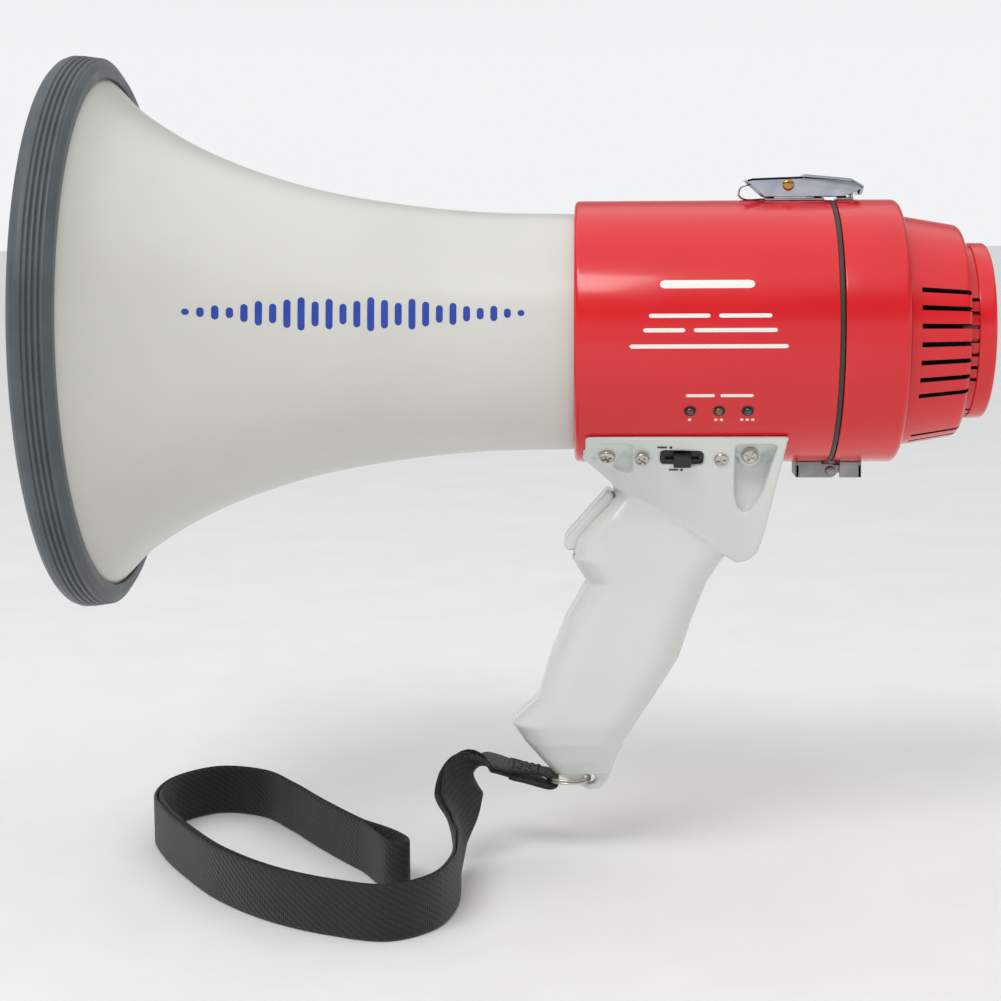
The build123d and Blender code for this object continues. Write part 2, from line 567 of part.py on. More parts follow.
def handle(fasteners):
    """Whole handle with its cavity, pockets, trigger opening, switch window and eyelet."""
    saddle = side_prism(SADDLE_SIDE, -40, 40) & saddle_wedge(0)
    grip = grip_loft(0) & below_crease(1.2)
    tab = side_prism([(180.0, -168.5), (183.6, -172.5), (196.5, -178.9), (201.2, -178.3), (204.0, -174.6),
                      (206.2, -168.5)], -EYELET_HALF, EYELET_HALF)
    whole = saddle + grip + tab
    hollow = side_prism(SADDLE_CAVITY, -40, 40) & saddle_wedge(3.0)
    hollow -= block(190.0, 213.5, -40, 40, -55, -30)
    hollow -= block(247.5, 270.0, -40, 40, -69, -30)
    grip_hollow = grip_loft(SHELL_WALL) & below_crease(4.0)
    grip_hollow -= block(150, 260, -30, 30, -190, -163)
    hollow += grip_hollow
    for x, z in HANDLE_SCREWS:
        hollow -= cross_rod(x, z, -30, 30, 4.4)
    hollow -= cross_rod(TRIGGER_PIN[0], TRIGGER_PIN[1], -30, -TRIGGER_HALF - 0.4, 3.2)
    hollow -= cross_rod(TRIGGER_PIN[0], TRIGGER_PIN[1], TRIGGER_HALF + 0.4, 30, 3.2)
    whole -= hollow
    whole -= rod(180, 290, BODY_R)
    front_pocket = side_prism([(198.6, -39.8), (213.0, -39.8), (212.4, -52.5), (207.0, -50.0), (197.4, -46.6)],
                              POCKET_FLOOR, 45)
    back_pocket = side_prism([(250.4, -39.8), (266.0, -39.8), (261.0, -58.0), (257.6, -64.5), (254.4, -66.5),
                              (251.6, -63.5), (250.4, -57.0)], POCKET_FLOOR, 45)
    skin = rod(180, 290, BODY_R + 1.0)
    for (x, z), pocket in zip(SADDLE_SCREWS, (front_pocket, back_pocket)):
        whole -= both_sides(pocket - skin - cross_rod(x, z, 10, SEAT, 3.7))
        whole -= both_sides(cross_rod(x, z, SEAT, 40, 3.5))
    opening = [(206.0, -60.6), (216.0, -60.6), (216.0, -70.0), (200.0, -85.8), (187.0, -85.8), (184.0, -78.0),
               (202.0, -57.8)]
    whole -= side_prism(opening, -TRIGGER_HALF - 0.4, TRIGGER_HALF + 0.4)
    whole -= cross_rod(TRIGGER_PIN[0], TRIGGER_PIN[1], -14, 14, HINGE_PIN_R)
    whole -= switch_plane() * Box(SWITCH_W, SWITCH_H, 16)
    whole -= cross_rod(EYELET[0], EYELET[1], -5, 5, EYELET_R)
    for x, z in HANDLE_SCREWS:
        whole -= cross_rod(x, z, 9.5, 40, 3.3)
    for fastener in fasteners:
        whole -= fastener
    return whole


def trigger():
    outline = [(203.6, -60.0), (187.8, -77.9), (187.0, -79.6), (187.2, -81.4), (188.6, -82.8), (190.6, -83.0),
               (192.4, -82.0), (196.0, -76.6), (206.0, -66.4), (206.0, -61.4)]
    body = side_prism(outline, -TRIGGER_HALF, TRIGGER_HALF)
    boss = cross_rod(TRIGGER_PIN[0], TRIGGER_PIN[1], -TRIGGER_HALF, TRIGGER_HALF, 3.0)
    return body + boss - cross_rod(TRIGGER_PIN[0], TRIGGER_PIN[1], -12, 12, HINGE_PIN_R + PIN_GAP)


def trigger_pin():
    return cross_rod(TRIGGER_PIN[0], TRIGGER_PIN[1], -13.5, 13.5, HINGE_PIN_R)


def trigger_spring():
    """V shaped leaf between the trigger and the rib behind it."""
    return side_prism([(200.6, -73.0), (206.4, -78.4), (206.8, -78.0), (202.0, -73.4), (209.6, -73.4),
                       (209.6, -72.9), (201.0, -72.7)], -3, 3)


def microswitch():
    return block(198.4, 210.4, -3.1, 3.1, -86.4, -80.2) + block(197.2, 198.4, -1.2, 1.2, -82.4, -80.8)


def mode_switch_parts():
    """Body with its window plate, and the knob that slides in it."""
    plane = switch_plane()
    body = Pos(0, 0, -2.3) * Box(SWITCH_W - 0.1, SWITCH_H - 0.1, 2.0)
    groove = Pos(0, 0, -1.3) * Box(2 * SWITCH_TRAVEL + 4.0, 2.2, 1.8)
    knob = Pos(0, 0, 0.9) * Box(6.4, 4.8, 3.8)
    knob = fillet(knob.edges().group_by(Axis.Z)[-1], 0.5)
    stem = Pos(0, 0, -1.4) * Box(3.0, 1.4, 1.0)
    return plane * (body - groove), plane * (knob + stem)


# ---- wrist strap ----------------------------------------------------------------------------------
def split_ring():
    """Key ring through the eyelet, lying level."""
    centre = (EYELET[0] - RING_R, EYELET[1])
    band = Cylinder(RING_R + RING_WIRE / 2, 2.0) - Cylinder(RING_R - RING_WIRE / 2, 2.0)
    return Pos(centre[0], 0, centre[1]) * band


def strap_tab():
    """Sewn end of the webbing, folded round the ring."""
    outer = side_prism([(165.6, -172.8), (165.6, -168.2), (176.0, -171.0), (181.5, -172.1), (184.6, -174.0),
                        (186.2, -176.2), (184.6, -178.2), (176.0, -176.9)], -7.0, 7.0)
    eye = side_prism([(177.6, -172.7), (181.2, -173.1), (183.4, -174.7), (183.8, -176.0), (182.6, -176.9),
                      (177.6, -176.0)], -8, 8)
    wire_path = Cylinder(RING_R + 0.9, 2.6) - Cylinder(RING_R - 0.9, 2.6)
    return largest(outer - eye - Pos(EYELET[0] - RING_R, 0, EYELET[1]) * wire_path)


def strap_neck():
    radii = bend_radii(NECK_ROUTE)
    print("strap neck radii", [round(r, 1) for r in radii])
    path = FilletPolyline(*NECK_ROUTE, radius=radii)
    section = Plane(origin=path @ 0, z_dir=path % 0) * Circle(WEB_DOUBLE / 2 + 0.3)
    neck = sweep(section, path=path)
    print("strap neck length", round(path.length, 1))
    return neck


def strap_loop():
    route = [(x, y, FLOOR_Z) for x, y in LOOP_ROUTE]
    radii = bend_radii(route)
    print("strap loop radii", [round(r, 1) for r in radii])
    path = FilletPolyline(*route, radius=radii)
    print("strap loop length", round(path.length, 1))
    section = Plane(origin=path @ 0 + Vector(0, 0, WEB_WIDTH / 2), x_dir=(1, 0, 0), z_dir=path % 0) * \
        Rectangle(WEB_DOUBLE, WEB_WIDTH)
    return sweep(section, path=path)


# ---- all parts ------------------------------------------------------------------------------------
def main():
    saddle_fixings, switch_fixings, handle_fixings = saddle_screws(), switch_screws(), handle_screws()
    base_rivets = [top_rivet(x, y) for x, y in ((264.2, -3.6), (264.2, 3.6), (282.6, 0.0))]
    keeper_rivets = [top_rivet(291.6, y) for y in (-3.2, 3.2)]
    leaf_rivets = [hinge_rivet(x, y) for x, y in ((278.4, -4.4), (278.4, 4.4), (282.4, 0.0))]
    cover_leaf_rivets = [hinge_rivet(295.4, y) for y in (-4.2, 4.2)]
    mic_screws = housing_screws()

    bell, throat = horn_bell(), throat_tube()
    save("horn_bell", bell)
    save("rim_guard", rim_guard(bell))
    save("throat_tube", throat)
    save("reflector", reflector(throat))
    for name, shape in driver_parts().items():
        save(name, shape)

    body = body_tube(saddle_fixings)
    for rivet in base_rivets + leaf_rivets:
        body -= rivet
    save("body_tube", body)
    save("bulkhead", bulkhead())
    save("cover_gasket", tube(BODY_END, GASKET_END, BODY_R - 0.25, BODY_R - BODY_WALL))
    save("amplifier_board", amplifier_board())
    save("board_components", *board_components())
    save("light_board", light_board())
    for name, light in zip(("light_low", "light_mid", "light_high"), light_parts()):
        save(name, light)

    cells = [cell(y, z) for y, z in cell_places()]
    save("battery_holder", battery_holder(cells))
    save("battery_cells", *cells)
    save("cell_contacts", *cell_contacts())

    cover = rear_cover()
    for fixing in keeper_rivets + cover_leaf_rivets + mic_screws:
        cover -= fixing
    save("rear_cover", cover)
    save("mic_housing", mic_housing(mic_screws))
    save("housing_screws", *mic_screws)
    save("end_ring", end_ring())
    save("mic_grille", mic_grille())
    save("mic_foam", mic_foam())
    save("mic_capsule", mic_capsule())
    save("volume_pot", volume_pot())
    save("volume_knob", volume_knob())

    save("latch_base", latch_base(base_rivets))
    save("latch_lever", latch_lever())
    save("latch_pin", latch_pin())
    save("latch_spring", latch_spring())
    save("latch_rivets", *base_rivets)
    save("latch_keeper", latch_keeper(keeper_rivets))
    save("keeper_rivets", *keeper_rivets)

    save("hinge_body_leaf", hinge_body_leaf(leaf_rivets))
    save("hinge_cover_leaf", hinge_cover_leaf(cover_leaf_rivets))
    save("hinge_pin", hinge_pin())
    save("hinge_body_rivets", *leaf_rivets)
    save("hinge_cover_rivets", *cover_leaf_rivets)

    whole = handle(saddle_fixings + switch_fixings + handle_fixings)
    save("handle_left", largest(whole & block(140, 290, -60, 0, -200, -20)))
    save("handle_right", largest(whole & block(140, 290, 0, 60, -200, -20)))
    save("saddle_screws", *saddle_fixings)
    save("handle_screws", *handle_fixings)
    save("switch_screws", *switch_fixings)
    save("trigger", trigger())
    save("trigger_pin", trigger_pin())
    save("trigger_spring", trigger_spring())
    save("microswitch", microswitch())
    switch_body, switch_knob = mode_switch_parts()
    for screw in switch_fixings:
        switch_body -= screw
    save("mode_switch", switch_body)
    save("mode_knob", switch_knob)

    save("split_ring", split_ring())
    save("strap_tab", strap_tab())
    save("strap_neck", strap_neck())
    save("strap_loop", strap_loop())


main()
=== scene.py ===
from math import atan2, cos, hypot, pi, radians, sin, tan

import bmesh
import bpy
import numpy as np
from mathutils import Matrix, Vector


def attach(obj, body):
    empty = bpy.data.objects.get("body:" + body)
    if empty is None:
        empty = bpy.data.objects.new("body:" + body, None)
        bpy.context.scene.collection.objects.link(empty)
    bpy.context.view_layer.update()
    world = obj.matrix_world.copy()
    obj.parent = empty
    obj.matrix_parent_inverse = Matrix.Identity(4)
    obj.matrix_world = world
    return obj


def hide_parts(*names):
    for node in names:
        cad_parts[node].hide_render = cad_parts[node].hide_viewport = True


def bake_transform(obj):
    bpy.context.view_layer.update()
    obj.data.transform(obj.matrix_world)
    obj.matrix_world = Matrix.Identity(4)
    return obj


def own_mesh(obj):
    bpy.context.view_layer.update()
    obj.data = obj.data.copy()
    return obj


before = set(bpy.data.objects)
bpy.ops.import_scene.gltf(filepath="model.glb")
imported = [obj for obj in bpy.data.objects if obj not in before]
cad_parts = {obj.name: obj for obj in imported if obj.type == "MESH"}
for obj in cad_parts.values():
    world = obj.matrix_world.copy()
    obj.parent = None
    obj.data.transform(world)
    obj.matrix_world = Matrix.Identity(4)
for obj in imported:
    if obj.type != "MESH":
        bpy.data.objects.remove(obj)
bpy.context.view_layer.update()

# Shapes are written in the horn frame, in millimetres: X runs back along the horn axis from the bell's
# front plane, Z is up and the axis is at Z = 0. row() turns such points into the row frame, in metres.
GRIP_X, GRIP_Z = 208.0, -118.0
BODY_R = 49.45
FLOOR_Z = -205.0
SCREW_Z = -44.4                                                # height of the four saddle screws
REAR_SEAT = 27.9                                               # how far out the rear pair's heads sit
SWITCH_X, SWITCH_Z = 230.9, -45.4                              # middle of the mode switch
HINGE_X, HINGE_Z = 287.9, -52.4                                # pin of the cover hinge
LIGHTS = (("light_low", 233.2, "lamp_red"), ("light_mid", 243.7, "lamp_amber"),
          ("light_high", 254.1, "lamp_green"))


def row(points):
    """Horn frame millimetres to row frame metres."""
    return (np.asarray(points, float).reshape(-1, 3) - (GRIP_X, 0.0, GRIP_Z)) / 1000.0


# ---- materials ------------------------------------------------------------------------------------
def rgb(code):
    """Linear colour from an sRGB hex code."""
    parts = [int(code[i:i + 2], 16) / 255 for i in (1, 3, 5)]
    return [p / 12.92 if p <= 0.04045 else ((p + 0.055) / 1.055) ** 2.4 for p in parts] + [1.0]


def add(tree, kind, values=None, links=None, **settings):
    """Adds one node, sets its properties and values, and links sockets into it."""
    node = tree.nodes.new(kind)
    for key, value in settings.items():
        setattr(node, key, value)
    for key, value in (values or {}).items():
        node.inputs[key].default_value = value
    for key, socket in (links or {}).items():
        tree.links.new(socket, node.inputs[key])
    return node


def start(name):
    """New material: its tree, its principled shader and its coordinates in metres."""
    material = bpy.data.materials.new(name)
    material.use_nodes = True
    tree = material.node_tree
    shader = tree.nodes["Principled BSDF"]
    return material, tree, shader, add(tree, "ShaderNodeTexCoord")


def noise(tree, coords, scale, detail=3.0, stretch=(1, 1, 1)):
    """Noise value at that many cells a metre, stretched along an axis where asked."""
    spread = add(tree, "ShaderNodeMapping", {"Scale": stretch}, {"Vector": coords})
    cells = add(tree, "ShaderNodeTexNoise", {"Scale": scale, "Detail": detail},
                {"Vector": spread.outputs[0]})
    return cells.outputs[0]


def ramp(tree, value, low, high):
    """Maps the common span of a noise value, 0.25 to 0.75, softly to low to high."""
    return add(tree, "ShaderNodeMapRange", {1: 0.25, 2: 0.75, 3: low, 4: high}, {0: value},
               interpolation_type="SMOOTHSTEP").outputs[0]


def tint(tree, value, one, two):
    """Colour between two hex codes by a noise value."""
    share = ramp(tree, value, 0.0, 1.0)
    mix = add(tree, "ShaderNodeMix", {6: rgb(one), 7: rgb(two)}, {0: share}, data_type="RGBA")
    return mix.outputs[2]


def bump(tree, shader, height, distance, strength=1.0, under=None):
    """Raises the surface by a height value, over an earlier bump where one is given."""
    links = {"Height": height}
    if under:
        links["Normal"] = under
    node = add(tree, "ShaderNodeBump", {"Strength": strength, "Distance": distance}, links)
    tree.links.new(node.outputs[0], shader.inputs["Normal"])
    return node.outputs[0]


def moulded(name, one, two, rough, grain=0.000006, coat=0.0, grain_scale=900, wave=0.0):
    """Injection moulded plastic: slow tone drift, uneven polish, mould texture and slight sink waves."""
    material, tree, shader, coords = start(name)
    place = coords.outputs["Object"]
    drift = noise(tree, place, 14)                             # about 70 mm across
    tree.links.new(tint(tree, drift, one, two), shader.inputs["Base Color"])
    polish = noise(tree, place, 55, 4)                         # about 18 mm across
    tree.links.new(ramp(tree, polish, rough * 0.86, rough * 1.16), shader.inputs["Roughness"])
    normal = bump(tree, shader, noise(tree, place, 42, 1), wave, 1.0) if wave else None
    bump(tree, shader, noise(tree, place, grain_scale, 2), grain, 0.5, normal)
    shader.inputs["Coat Weight"].default_value = coat
    shader.inputs["Coat Roughness"].default_value = 0.09
    return material


def plated(name, one, two, rough, brush=(1, 1, 1), scratch=0.000006):
    """Plated or drawn metal: faint clouding, and fine scratches along the drawing direction."""
    material, tree, shader, coords = start(name)
    place = coords.outputs["Object"]
    tree.links.new(tint(tree, noise(tree, place, 160), one, two), shader.inputs["Base Color"])
    lines = noise(tree, place, 2200, 2, brush)                 # scratches about 0.5 mm apart
    tree.links.new(ramp(tree, lines, rough * 0.8, rough * 1.35), shader.inputs["Roughness"])
    bump(tree, shader, lines, scratch, 0.5)
    shader.inputs["Metallic"].default_value = 1.0
    return material


def rubber(name, one, two):
    """Soft dark rubber: dusty film on top, pebbled skin and a broad dull highlight."""
    material, tree, shader, coords = start(name)
    place = coords.outputs["Object"]
    dust = noise(tree, place, 70, 5)
    tree.links.new(tint(tree, dust, one, two), shader.inputs["Base Color"])
    tree.links.new(ramp(tree, dust, 0.42, 0.60), shader.inputs["Roughness"])
    bump(tree, shader, noise(tree, place, 2600, 3), 0.00003, 0.7)
    shader.inputs["Sheen Weight"].default_value = 0.12
    shader.inputs["Sheen Roughness"].default_value = 0.5
    return material


def webbing(name, one, two):
    """Woven polypropylene: diagonal ribs of yarn from the strap's own UVs, fuzzy sheen at the edges.
    The yarns are drawn coarser than real webbing's, so that the weave shows."""
    material, tree, shader, coords = start(name)
    split = add(tree, "ShaderNodeSeparateXYZ", None, {0: coords.outputs["UV"]})
    along, across = split.outputs[0], split.outputs[1]

    def maths(kind, a, b=None, value=None):
        node = add(tree, "ShaderNodeMath", None, {0: a}, operation=kind)
        if b is not None:
            tree.links.new(b, node.inputs[1])
        elif value is not None:
            node.inputs[1].default_value = value
        return node.outputs[0]

    turn = 2 * pi
    pick, warp, diagonal = 0.0019, 0.0024, 0.0038              # spacings in metres
    picks = maths("SINE", maths("MULTIPLY", along, value=turn / pick))
    ends = maths("MULTIPLY", across, value=turn / warp)
    shifted = maths("ADD", maths("MULTIPLY", along, value=turn / diagonal), ends)
    twill = maths("SINE", shifted)
    crossing = maths("SINE", maths("MULTIPLY", ends, value=2.0))
    yarn = maths("MULTIPLY", maths("ABSOLUTE", picks), maths("ABSOLUTE", crossing))
    weave = maths("ADD", yarn, maths("MULTIPLY", twill, value=0.45))
    fuzz = noise(tree, coords.outputs["Object"], 3800, 3)
    height = maths("ADD", weave, maths("MULTIPLY", fuzz, value=0.5))
    # the raised yarns are painted lighter grey: painted highlight on the crests of the weave
    share = maths("MULTIPLY", height, value=0.55)
    colour = add(tree, "ShaderNodeMix", {6: rgb(one), 7: rgb(two)}, {0: share}, data_type="RGBA")
    tree.links.new(colour.outputs[2], shader.inputs["Base Color"])
    tree.links.new(ramp(tree, fuzz, 0.62, 0.80), shader.inputs["Roughness"])
    bump(tree, shader, height, 0.00022, 0.85)
    shader.inputs["Sheen Weight"].default_value = 0.18
    shader.inputs["Sheen Roughness"].default_value = 0.4
    return material


def lens(name, one, two):
    """Tinted epoxy lamp lens: dark, slightly clear and very glossy, as an unlit lamp is."""
    material, tree, shader, coords = start(name)
    place = coords.outputs["Object"]
    tree.links.new(tint(tree, noise(tree, place, 400), one, two), shader.inputs["Base Color"])
    tree.links.new(ramp(tree, noise(tree, place, 900), 0.05, 0.09), shader.inputs["Roughness"])
    shader.inputs["Transmission Weight"].default_value = 0.08
    shader.inputs["Coat Weight"].default_value = 1.0
    return material


def ink(name, one, two):
    """Screen-printed ink: flat colour, faintly uneven, with a satin face."""
    material, tree, shader, coords = start(name)
    place = coords.outputs["Object"]
    tree.links.new(tint(tree, noise(tree, place, 1500), one, two), shader.inputs["Base Color"])
    tree.links.new(ramp(tree, noise(tree, place, 300), 0.30, 0.42), shader.inputs["Roughness"])
    bump(tree, shader, noise(tree, place, 3000), 0.00001, 0.5)
    return material


M = {
    # satin grey ABS of the bell: long soft highlight down the flare, barely uneven
    "bell": moulded("satin grey ABS, bell", "#D3D2CB", "#DAD9D2", 0.33, wave=0.00003, coat=0.12),
    # glossier, cooler grey ABS of the grip: wet-looking highlights along every edge
    "grip": moulded("gloss light grey ABS, grip", "#D6DAD5", "#DEE1DC", 0.22, wave=0.00004, coat=0.35),
    # semi-gloss red ABS: saturated, with a clear window highlight and slight orange peel
    "red": moulded("semi-gloss red ABS", "#D9101C", "#E2141F", 0.23, wave=0.00003, coat=0.30),
    # painted shade in the vent slots: matt black with no shine at all on the slot walls, the housing's
    # inside and the linings behind them, so that the slots read as dark
    "dark": moulded("black dust cloth", "#0B0B0B", "#151515", 0.85, grain=0.0001),
    # knobs, bezels and inner mouldings: satin black with a soft edge light
    "black": moulded("black ABS", "#161718", "#1D1E1F", 0.38),
    # slate rubber of the rim guard, with a dusty film on the ribs
    "rim": rubber("slate rubber, rim guard", "#454D52", "#545C61"),
    # the seal's dull brown-black line between the two red pieces
    "gasket": rubber("dark gasket rubber", "#2C2926", "#37332F"),
    # bright chromium, with a blue cast painted into its colour as a painted sky reflection
    "chrome": plated("chromium plate", "#A9B0BA", "#BCC2CA", 0.20),
    # warm dots of the latch's pin and rivets
    "brass": plated("turned brass", "#B98B45", "#C99B55", 0.20),
    # grey, cloudy sheet of the hinge, with a wide dull highlight
    "zinc": plated("dull zinc plate", "#8D8E8E", "#A3A4A3", 0.40, scratch=0.00001),
    # warm white glint of screws, ring and shafts
    "nickel": plated("nickel plated steel", "#B9B5AC", "#C9C6BE", 0.20),
    # darker spring leaves and pin, drawn along one way
    "steel": plated("spring steel", "#8F9294", "#A2A5A7", 0.36, (1, 12, 1)),
    # magnet: gritty, nearly black, without shine
    "ferrite": moulded("black ferrite", "#151515", "#222222", 0.7, grain=0.0001),
    # cast housings: coarse, pale and soft
    "alloy": plated("die-cast aluminium", "#9A9C9E", "#ADAFB0", 0.45, scratch=0.00003),
    # voice coil: fine turns in orange brown
    "copper": plated("enamelled copper wire", "#9C4E22", "#B5612C", 0.36, (1, 30, 30)),
    # diaphragm: amber under a clear gloss
    "film": moulded("amber diaphragm film", "#7A5A2A", "#8A6A36", 0.22, coat=0.5),
    # circuit boards: deep green under lacquer
    "board": moulded("green solder mask laminate", "#0E4A22", "#13582A", 0.33, coat=0.4),
    # components on the boards: matt charcoal
    "parts": moulded("moulded chips and sleeves", "#16171A", "#202226", 0.5),
    # microphone foam: soft black with open pores
    "foam": moulded("open cell foam", "#0F0F10", "#1B1B1C", 0.95, grain=0.0004, grain_scale=1400),
    # cells: tight blue-black film with a sharp highlight
    "cell": moulded("cell jacket film", "#14161C", "#1B1E26", 0.22, coat=0.4),
    # strap and tab: black webbing, the grey of its twill a painted highlight on the raised yarns
    "web": webbing("black woven webbing", "#0D1010", "#292D2D"),
    # stitches: black beads a little brighter than the webbing
    "thread": moulded("black sewing thread", "#101212", "#1C1F1F", 0.7, grain=0.0001, grain_scale=4000),
    # level bars, label stripes and switch marks: flat, even, satin colour
    "blue": ink("blue screen ink", "#2440A0", "#2B49AC"),
    "white": ink("white screen ink", "#F2EEE8", "#FAF7F2"),
    "mark": ink("black screen ink", "#1A1B1C", "#242526"),
    # unlit battery lights: small dark drops with a hint of their colour
    "lamp_red": lens("red tinted lens", "#5A0E10", "#7A1416"),
    "lamp_amber": lens("amber tinted lens", "#6A4E14", "#86651C"),
    "lamp_green": lens("green tinted lens", "#0C2A26", "#143A33"),
}


# ---- mesh helpers ---------------------------------------------------------------------------------
def make(name, verts, faces, material, smooth=38, uvs=None, inner=None):
    """Clean closed mesh from row-frame points. inner lists the faces that take a second material."""
    mesh = bpy.data.meshes.new(name)
    mesh.from_pydata([tuple(v) for v in verts], [], faces)
    if uvs is not None:
        layer = mesh.uv_layers.new(name="UVMap")
        for loop in mesh.loops:
            layer.data[loop.index].uv = uvs[loop.vertex_index]
    obj = bpy.data.objects.new(name, mesh)
    bpy.context.scene.collection.objects.link(obj)
    mesh.materials.append(material)
    if inner:
        mesh.materials.append(inner[1])
        for i in inner[0]:
            mesh.polygons[i].material_index = 1
    bm = bmesh.new()
    bm.from_mesh(mesh)
    bmesh.ops.remove_doubles(bm, verts=bm.verts, dist=2e-7)
    bmesh.ops.dissolve_degenerate(bm, edges=bm.edges, dist=1e-7)
    bmesh.ops.recalc_face_normals(bm, faces=bm.faces)
    bm.to_mesh(mesh)
    bm.free()
    mesh.shade_smooth()
    mesh.set_sharp_from_angle(angle=radians(smooth))
    return obj


def soften(points, radius, closed=True, parts=5):
    """Rounds the corners of a 2-D outline. radius is one value, or one for each corner."""
    out, n = [], len(points)
    radii = radius if isinstance(radius, (list, tuple)) else [radius] * n
    for i, corner in enumerate(points):
        if not closed and i in (0, n - 1):
            out.append(tuple(corner))
            continue
        here, before, after = (np.array(points[k % n], float) for k in (i, i - 1, i + 1))
        u, v = before - here, after - here
        lu, lv = np.linalg.norm(u), np.linalg.norm(v)
        u, v = u / lu, v / lv
        turn = np.arccos(np.clip(-u @ v, -1, 1))
        if turn < 0.06 or radii[i] <= 0:
            out.append(tuple(here))
            continue
        cut = min(radii[i] * tan(turn / 2), 0.45 * lu, 0.45 * lv)
        r = cut / tan(turn / 2)
        middle = here + (u + v) / np.linalg.norm(u + v) * hypot(cut, r)
        a, b = here + u * cut - middle, here + v * cut - middle
        for k in range(parts + 1):
            t = k / parts
            weight = (sin((1 - t) * turn), sin(t * turn))
            out.append(tuple(middle + (a * weight[0] + b * weight[1]) / sin(turn)))
    return out


def through(points, count):
    """Smooth curve through points (centripetal Catmull-Rom), evenly resampled."""
    p = np.asarray(points, float)
    p = np.vstack([2 * p[0] - p[1], p, 2 * p[-1] - p[-2]])
    line = []
    for i in range(1, len(p) - 2):
        p0, p1, p2, p3 = p[i - 1:i + 3]
        gaps = np.sqrt(np.linalg.norm(np.diff(p[i - 1:i + 3], axis=0), axis=1))
        t0, t1, t2, t3 = np.concatenate([[0], np.cumsum(gaps)])
        for t in np.linspace(t1, t2, 40, endpoint=False):
            a1 = ((t1 - t) * p0 + (t - t0) * p1) / (t1 - t0)
            a2 = ((t2 - t) * p1 + (t - t1) * p2) / (t2 - t1)
            a3 = ((t3 - t) * p2 + (t - t2) * p3) / (t3 - t2)
            b1 = ((t2 - t) * a1 + (t - t0) * a2) / (t2 - t0)
            b2 = ((t3 - t) * a2 + (t - t1) * a3) / (t3 - t1)
            line.append(((t2 - t) * b1 + (t - t1) * b2) / (t2 - t1))
    line.append(p[-2])
    line = np.array(line)
    run = np.concatenate([[0], np.cumsum(np.linalg.norm(np.diff(line, axis=0), axis=1))])
    even = np.linspace(0, run[-1], count)
    return np.column_stack([np.interp(even, run, line[:, k]) for k in range(line.shape[1])])


def turned(name, profile, material, base=(0, 0, 0), axis=(1, 0, 0), steps=224, smooth=38):
    """Turned piece: (height, radius) profile about an axis in the horn frame. The profile is a closed
    loop, or runs from the axis to the axis."""
    axis = Vector(axis).normalized()
    side = axis.orthogonal().normalized()
    other = axis.cross(side)
    angles = np.linspace(0, 2 * pi, steps, endpoint=False)
    h, r = np.array(profile, float).T
    ring = np.outer(np.cos(angles), side) + np.outer(np.sin(angles), other)
    points = np.array(base) + h[None, :, None] * np.array(axis) + r[None, :, None] * ring[:, None, :]
    n = len(h)
    faces = [(i * n + j, i * n + (j + 1) % n, ((i + 1) % steps) * n + (j + 1) % n, ((i + 1) % steps) * n + j)
             for i in range(steps) for j in range(n)]
    return make(name, row(points), faces, material, smooth)


def prism(name, outline, y0, y1, material, corner=0.0, bevel=0.25, smooth=30):
    """Extruded (x, z) outline between two Y planes, with rounded corners and edges."""
    flat = soften(outline, corner) if corner else list(outline)
    n = len(flat)
    points = [(x, y0, z) for x, z in flat] + [(x, y1, z) for x, z in flat]
    faces = [tuple(range(n)), tuple(range(2 * n - 1, n - 1, -1))]
    faces += [(i, n + i, n + (i + 1) % n, (i + 1) % n) for i in range(n)]
    obj = make(name, row(points), faces, material, smooth)
    return round_edges(obj, bevel) if bevel else obj


def bake(obj):
    """Turns an object's modifiers into its mesh."""
    depsgraph = bpy.context.evaluated_depsgraph_get()
    mesh = bpy.data.meshes.new_from_object(obj.evaluated_get(depsgraph), preserve_all_data_layers=True,
                                           depsgraph=depsgraph)
    obj.modifiers.clear()
    old, obj.data = obj.data, mesh
    bpy.data.meshes.remove(old)
    return obj


def round_edges(obj, width, segments=3, angle=28):
    """Bevels the edges sharper than the angle by a width in millimetres."""
    modifier = obj.modifiers.new("round", "BEVEL")
    modifier.width, modifier.segments = width / 1000, segments
    modifier.limit_method, modifier.angle_limit = "ANGLE", radians(angle)
    bake(obj)
    obj.data.shade_smooth()
    obj.data.set_sharp_from_angle(angle=radians(45))
    return obj


def box(name, size, material, at, bevel=0.2):
    """Box of that size, in millimetres, on a matrix in the horn frame."""
    half = np.array(size) / 2
    corners = [Vector(half * (a, b, c)) for a in (-1, 1) for b in (-1, 1) for c in (-1, 1)]
    faces = [(0, 1, 3, 2), (4, 6, 7, 5), (0, 4, 5, 1), (2, 3, 7, 6), (0, 2, 6, 4), (1, 5, 7, 3)]
    obj = make(name, row([at @ corner for corner in corners]), faces, material)
    return round_edges(obj, bevel) if bevel else obj


def join(name, *objs):
    """One object from several, keeping their materials."""
    mesh = bpy.data.meshes.new(name)
    bm = bmesh.new()
    for obj in objs:
        first = len(mesh.materials)
        for material in obj.data.materials:
            mesh.materials.append(material)
        for polygon in obj.data.polygons:
            polygon.material_index += first
        bm.from_mesh(obj.data)
        bpy.data.objects.remove(obj)
    bm.to_mesh(mesh)
    bm.free()
    whole = bpy.data.objects.new(name, mesh)
    bpy.context.scene.collection.objects.link(whole)
    return whole


def ship(obj, body, slot, *nodes):
    """The finished piece moves with its body and stands for its CAD nodes."""
    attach(obj, body)
    if nodes:
        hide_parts(*nodes)
    return obj


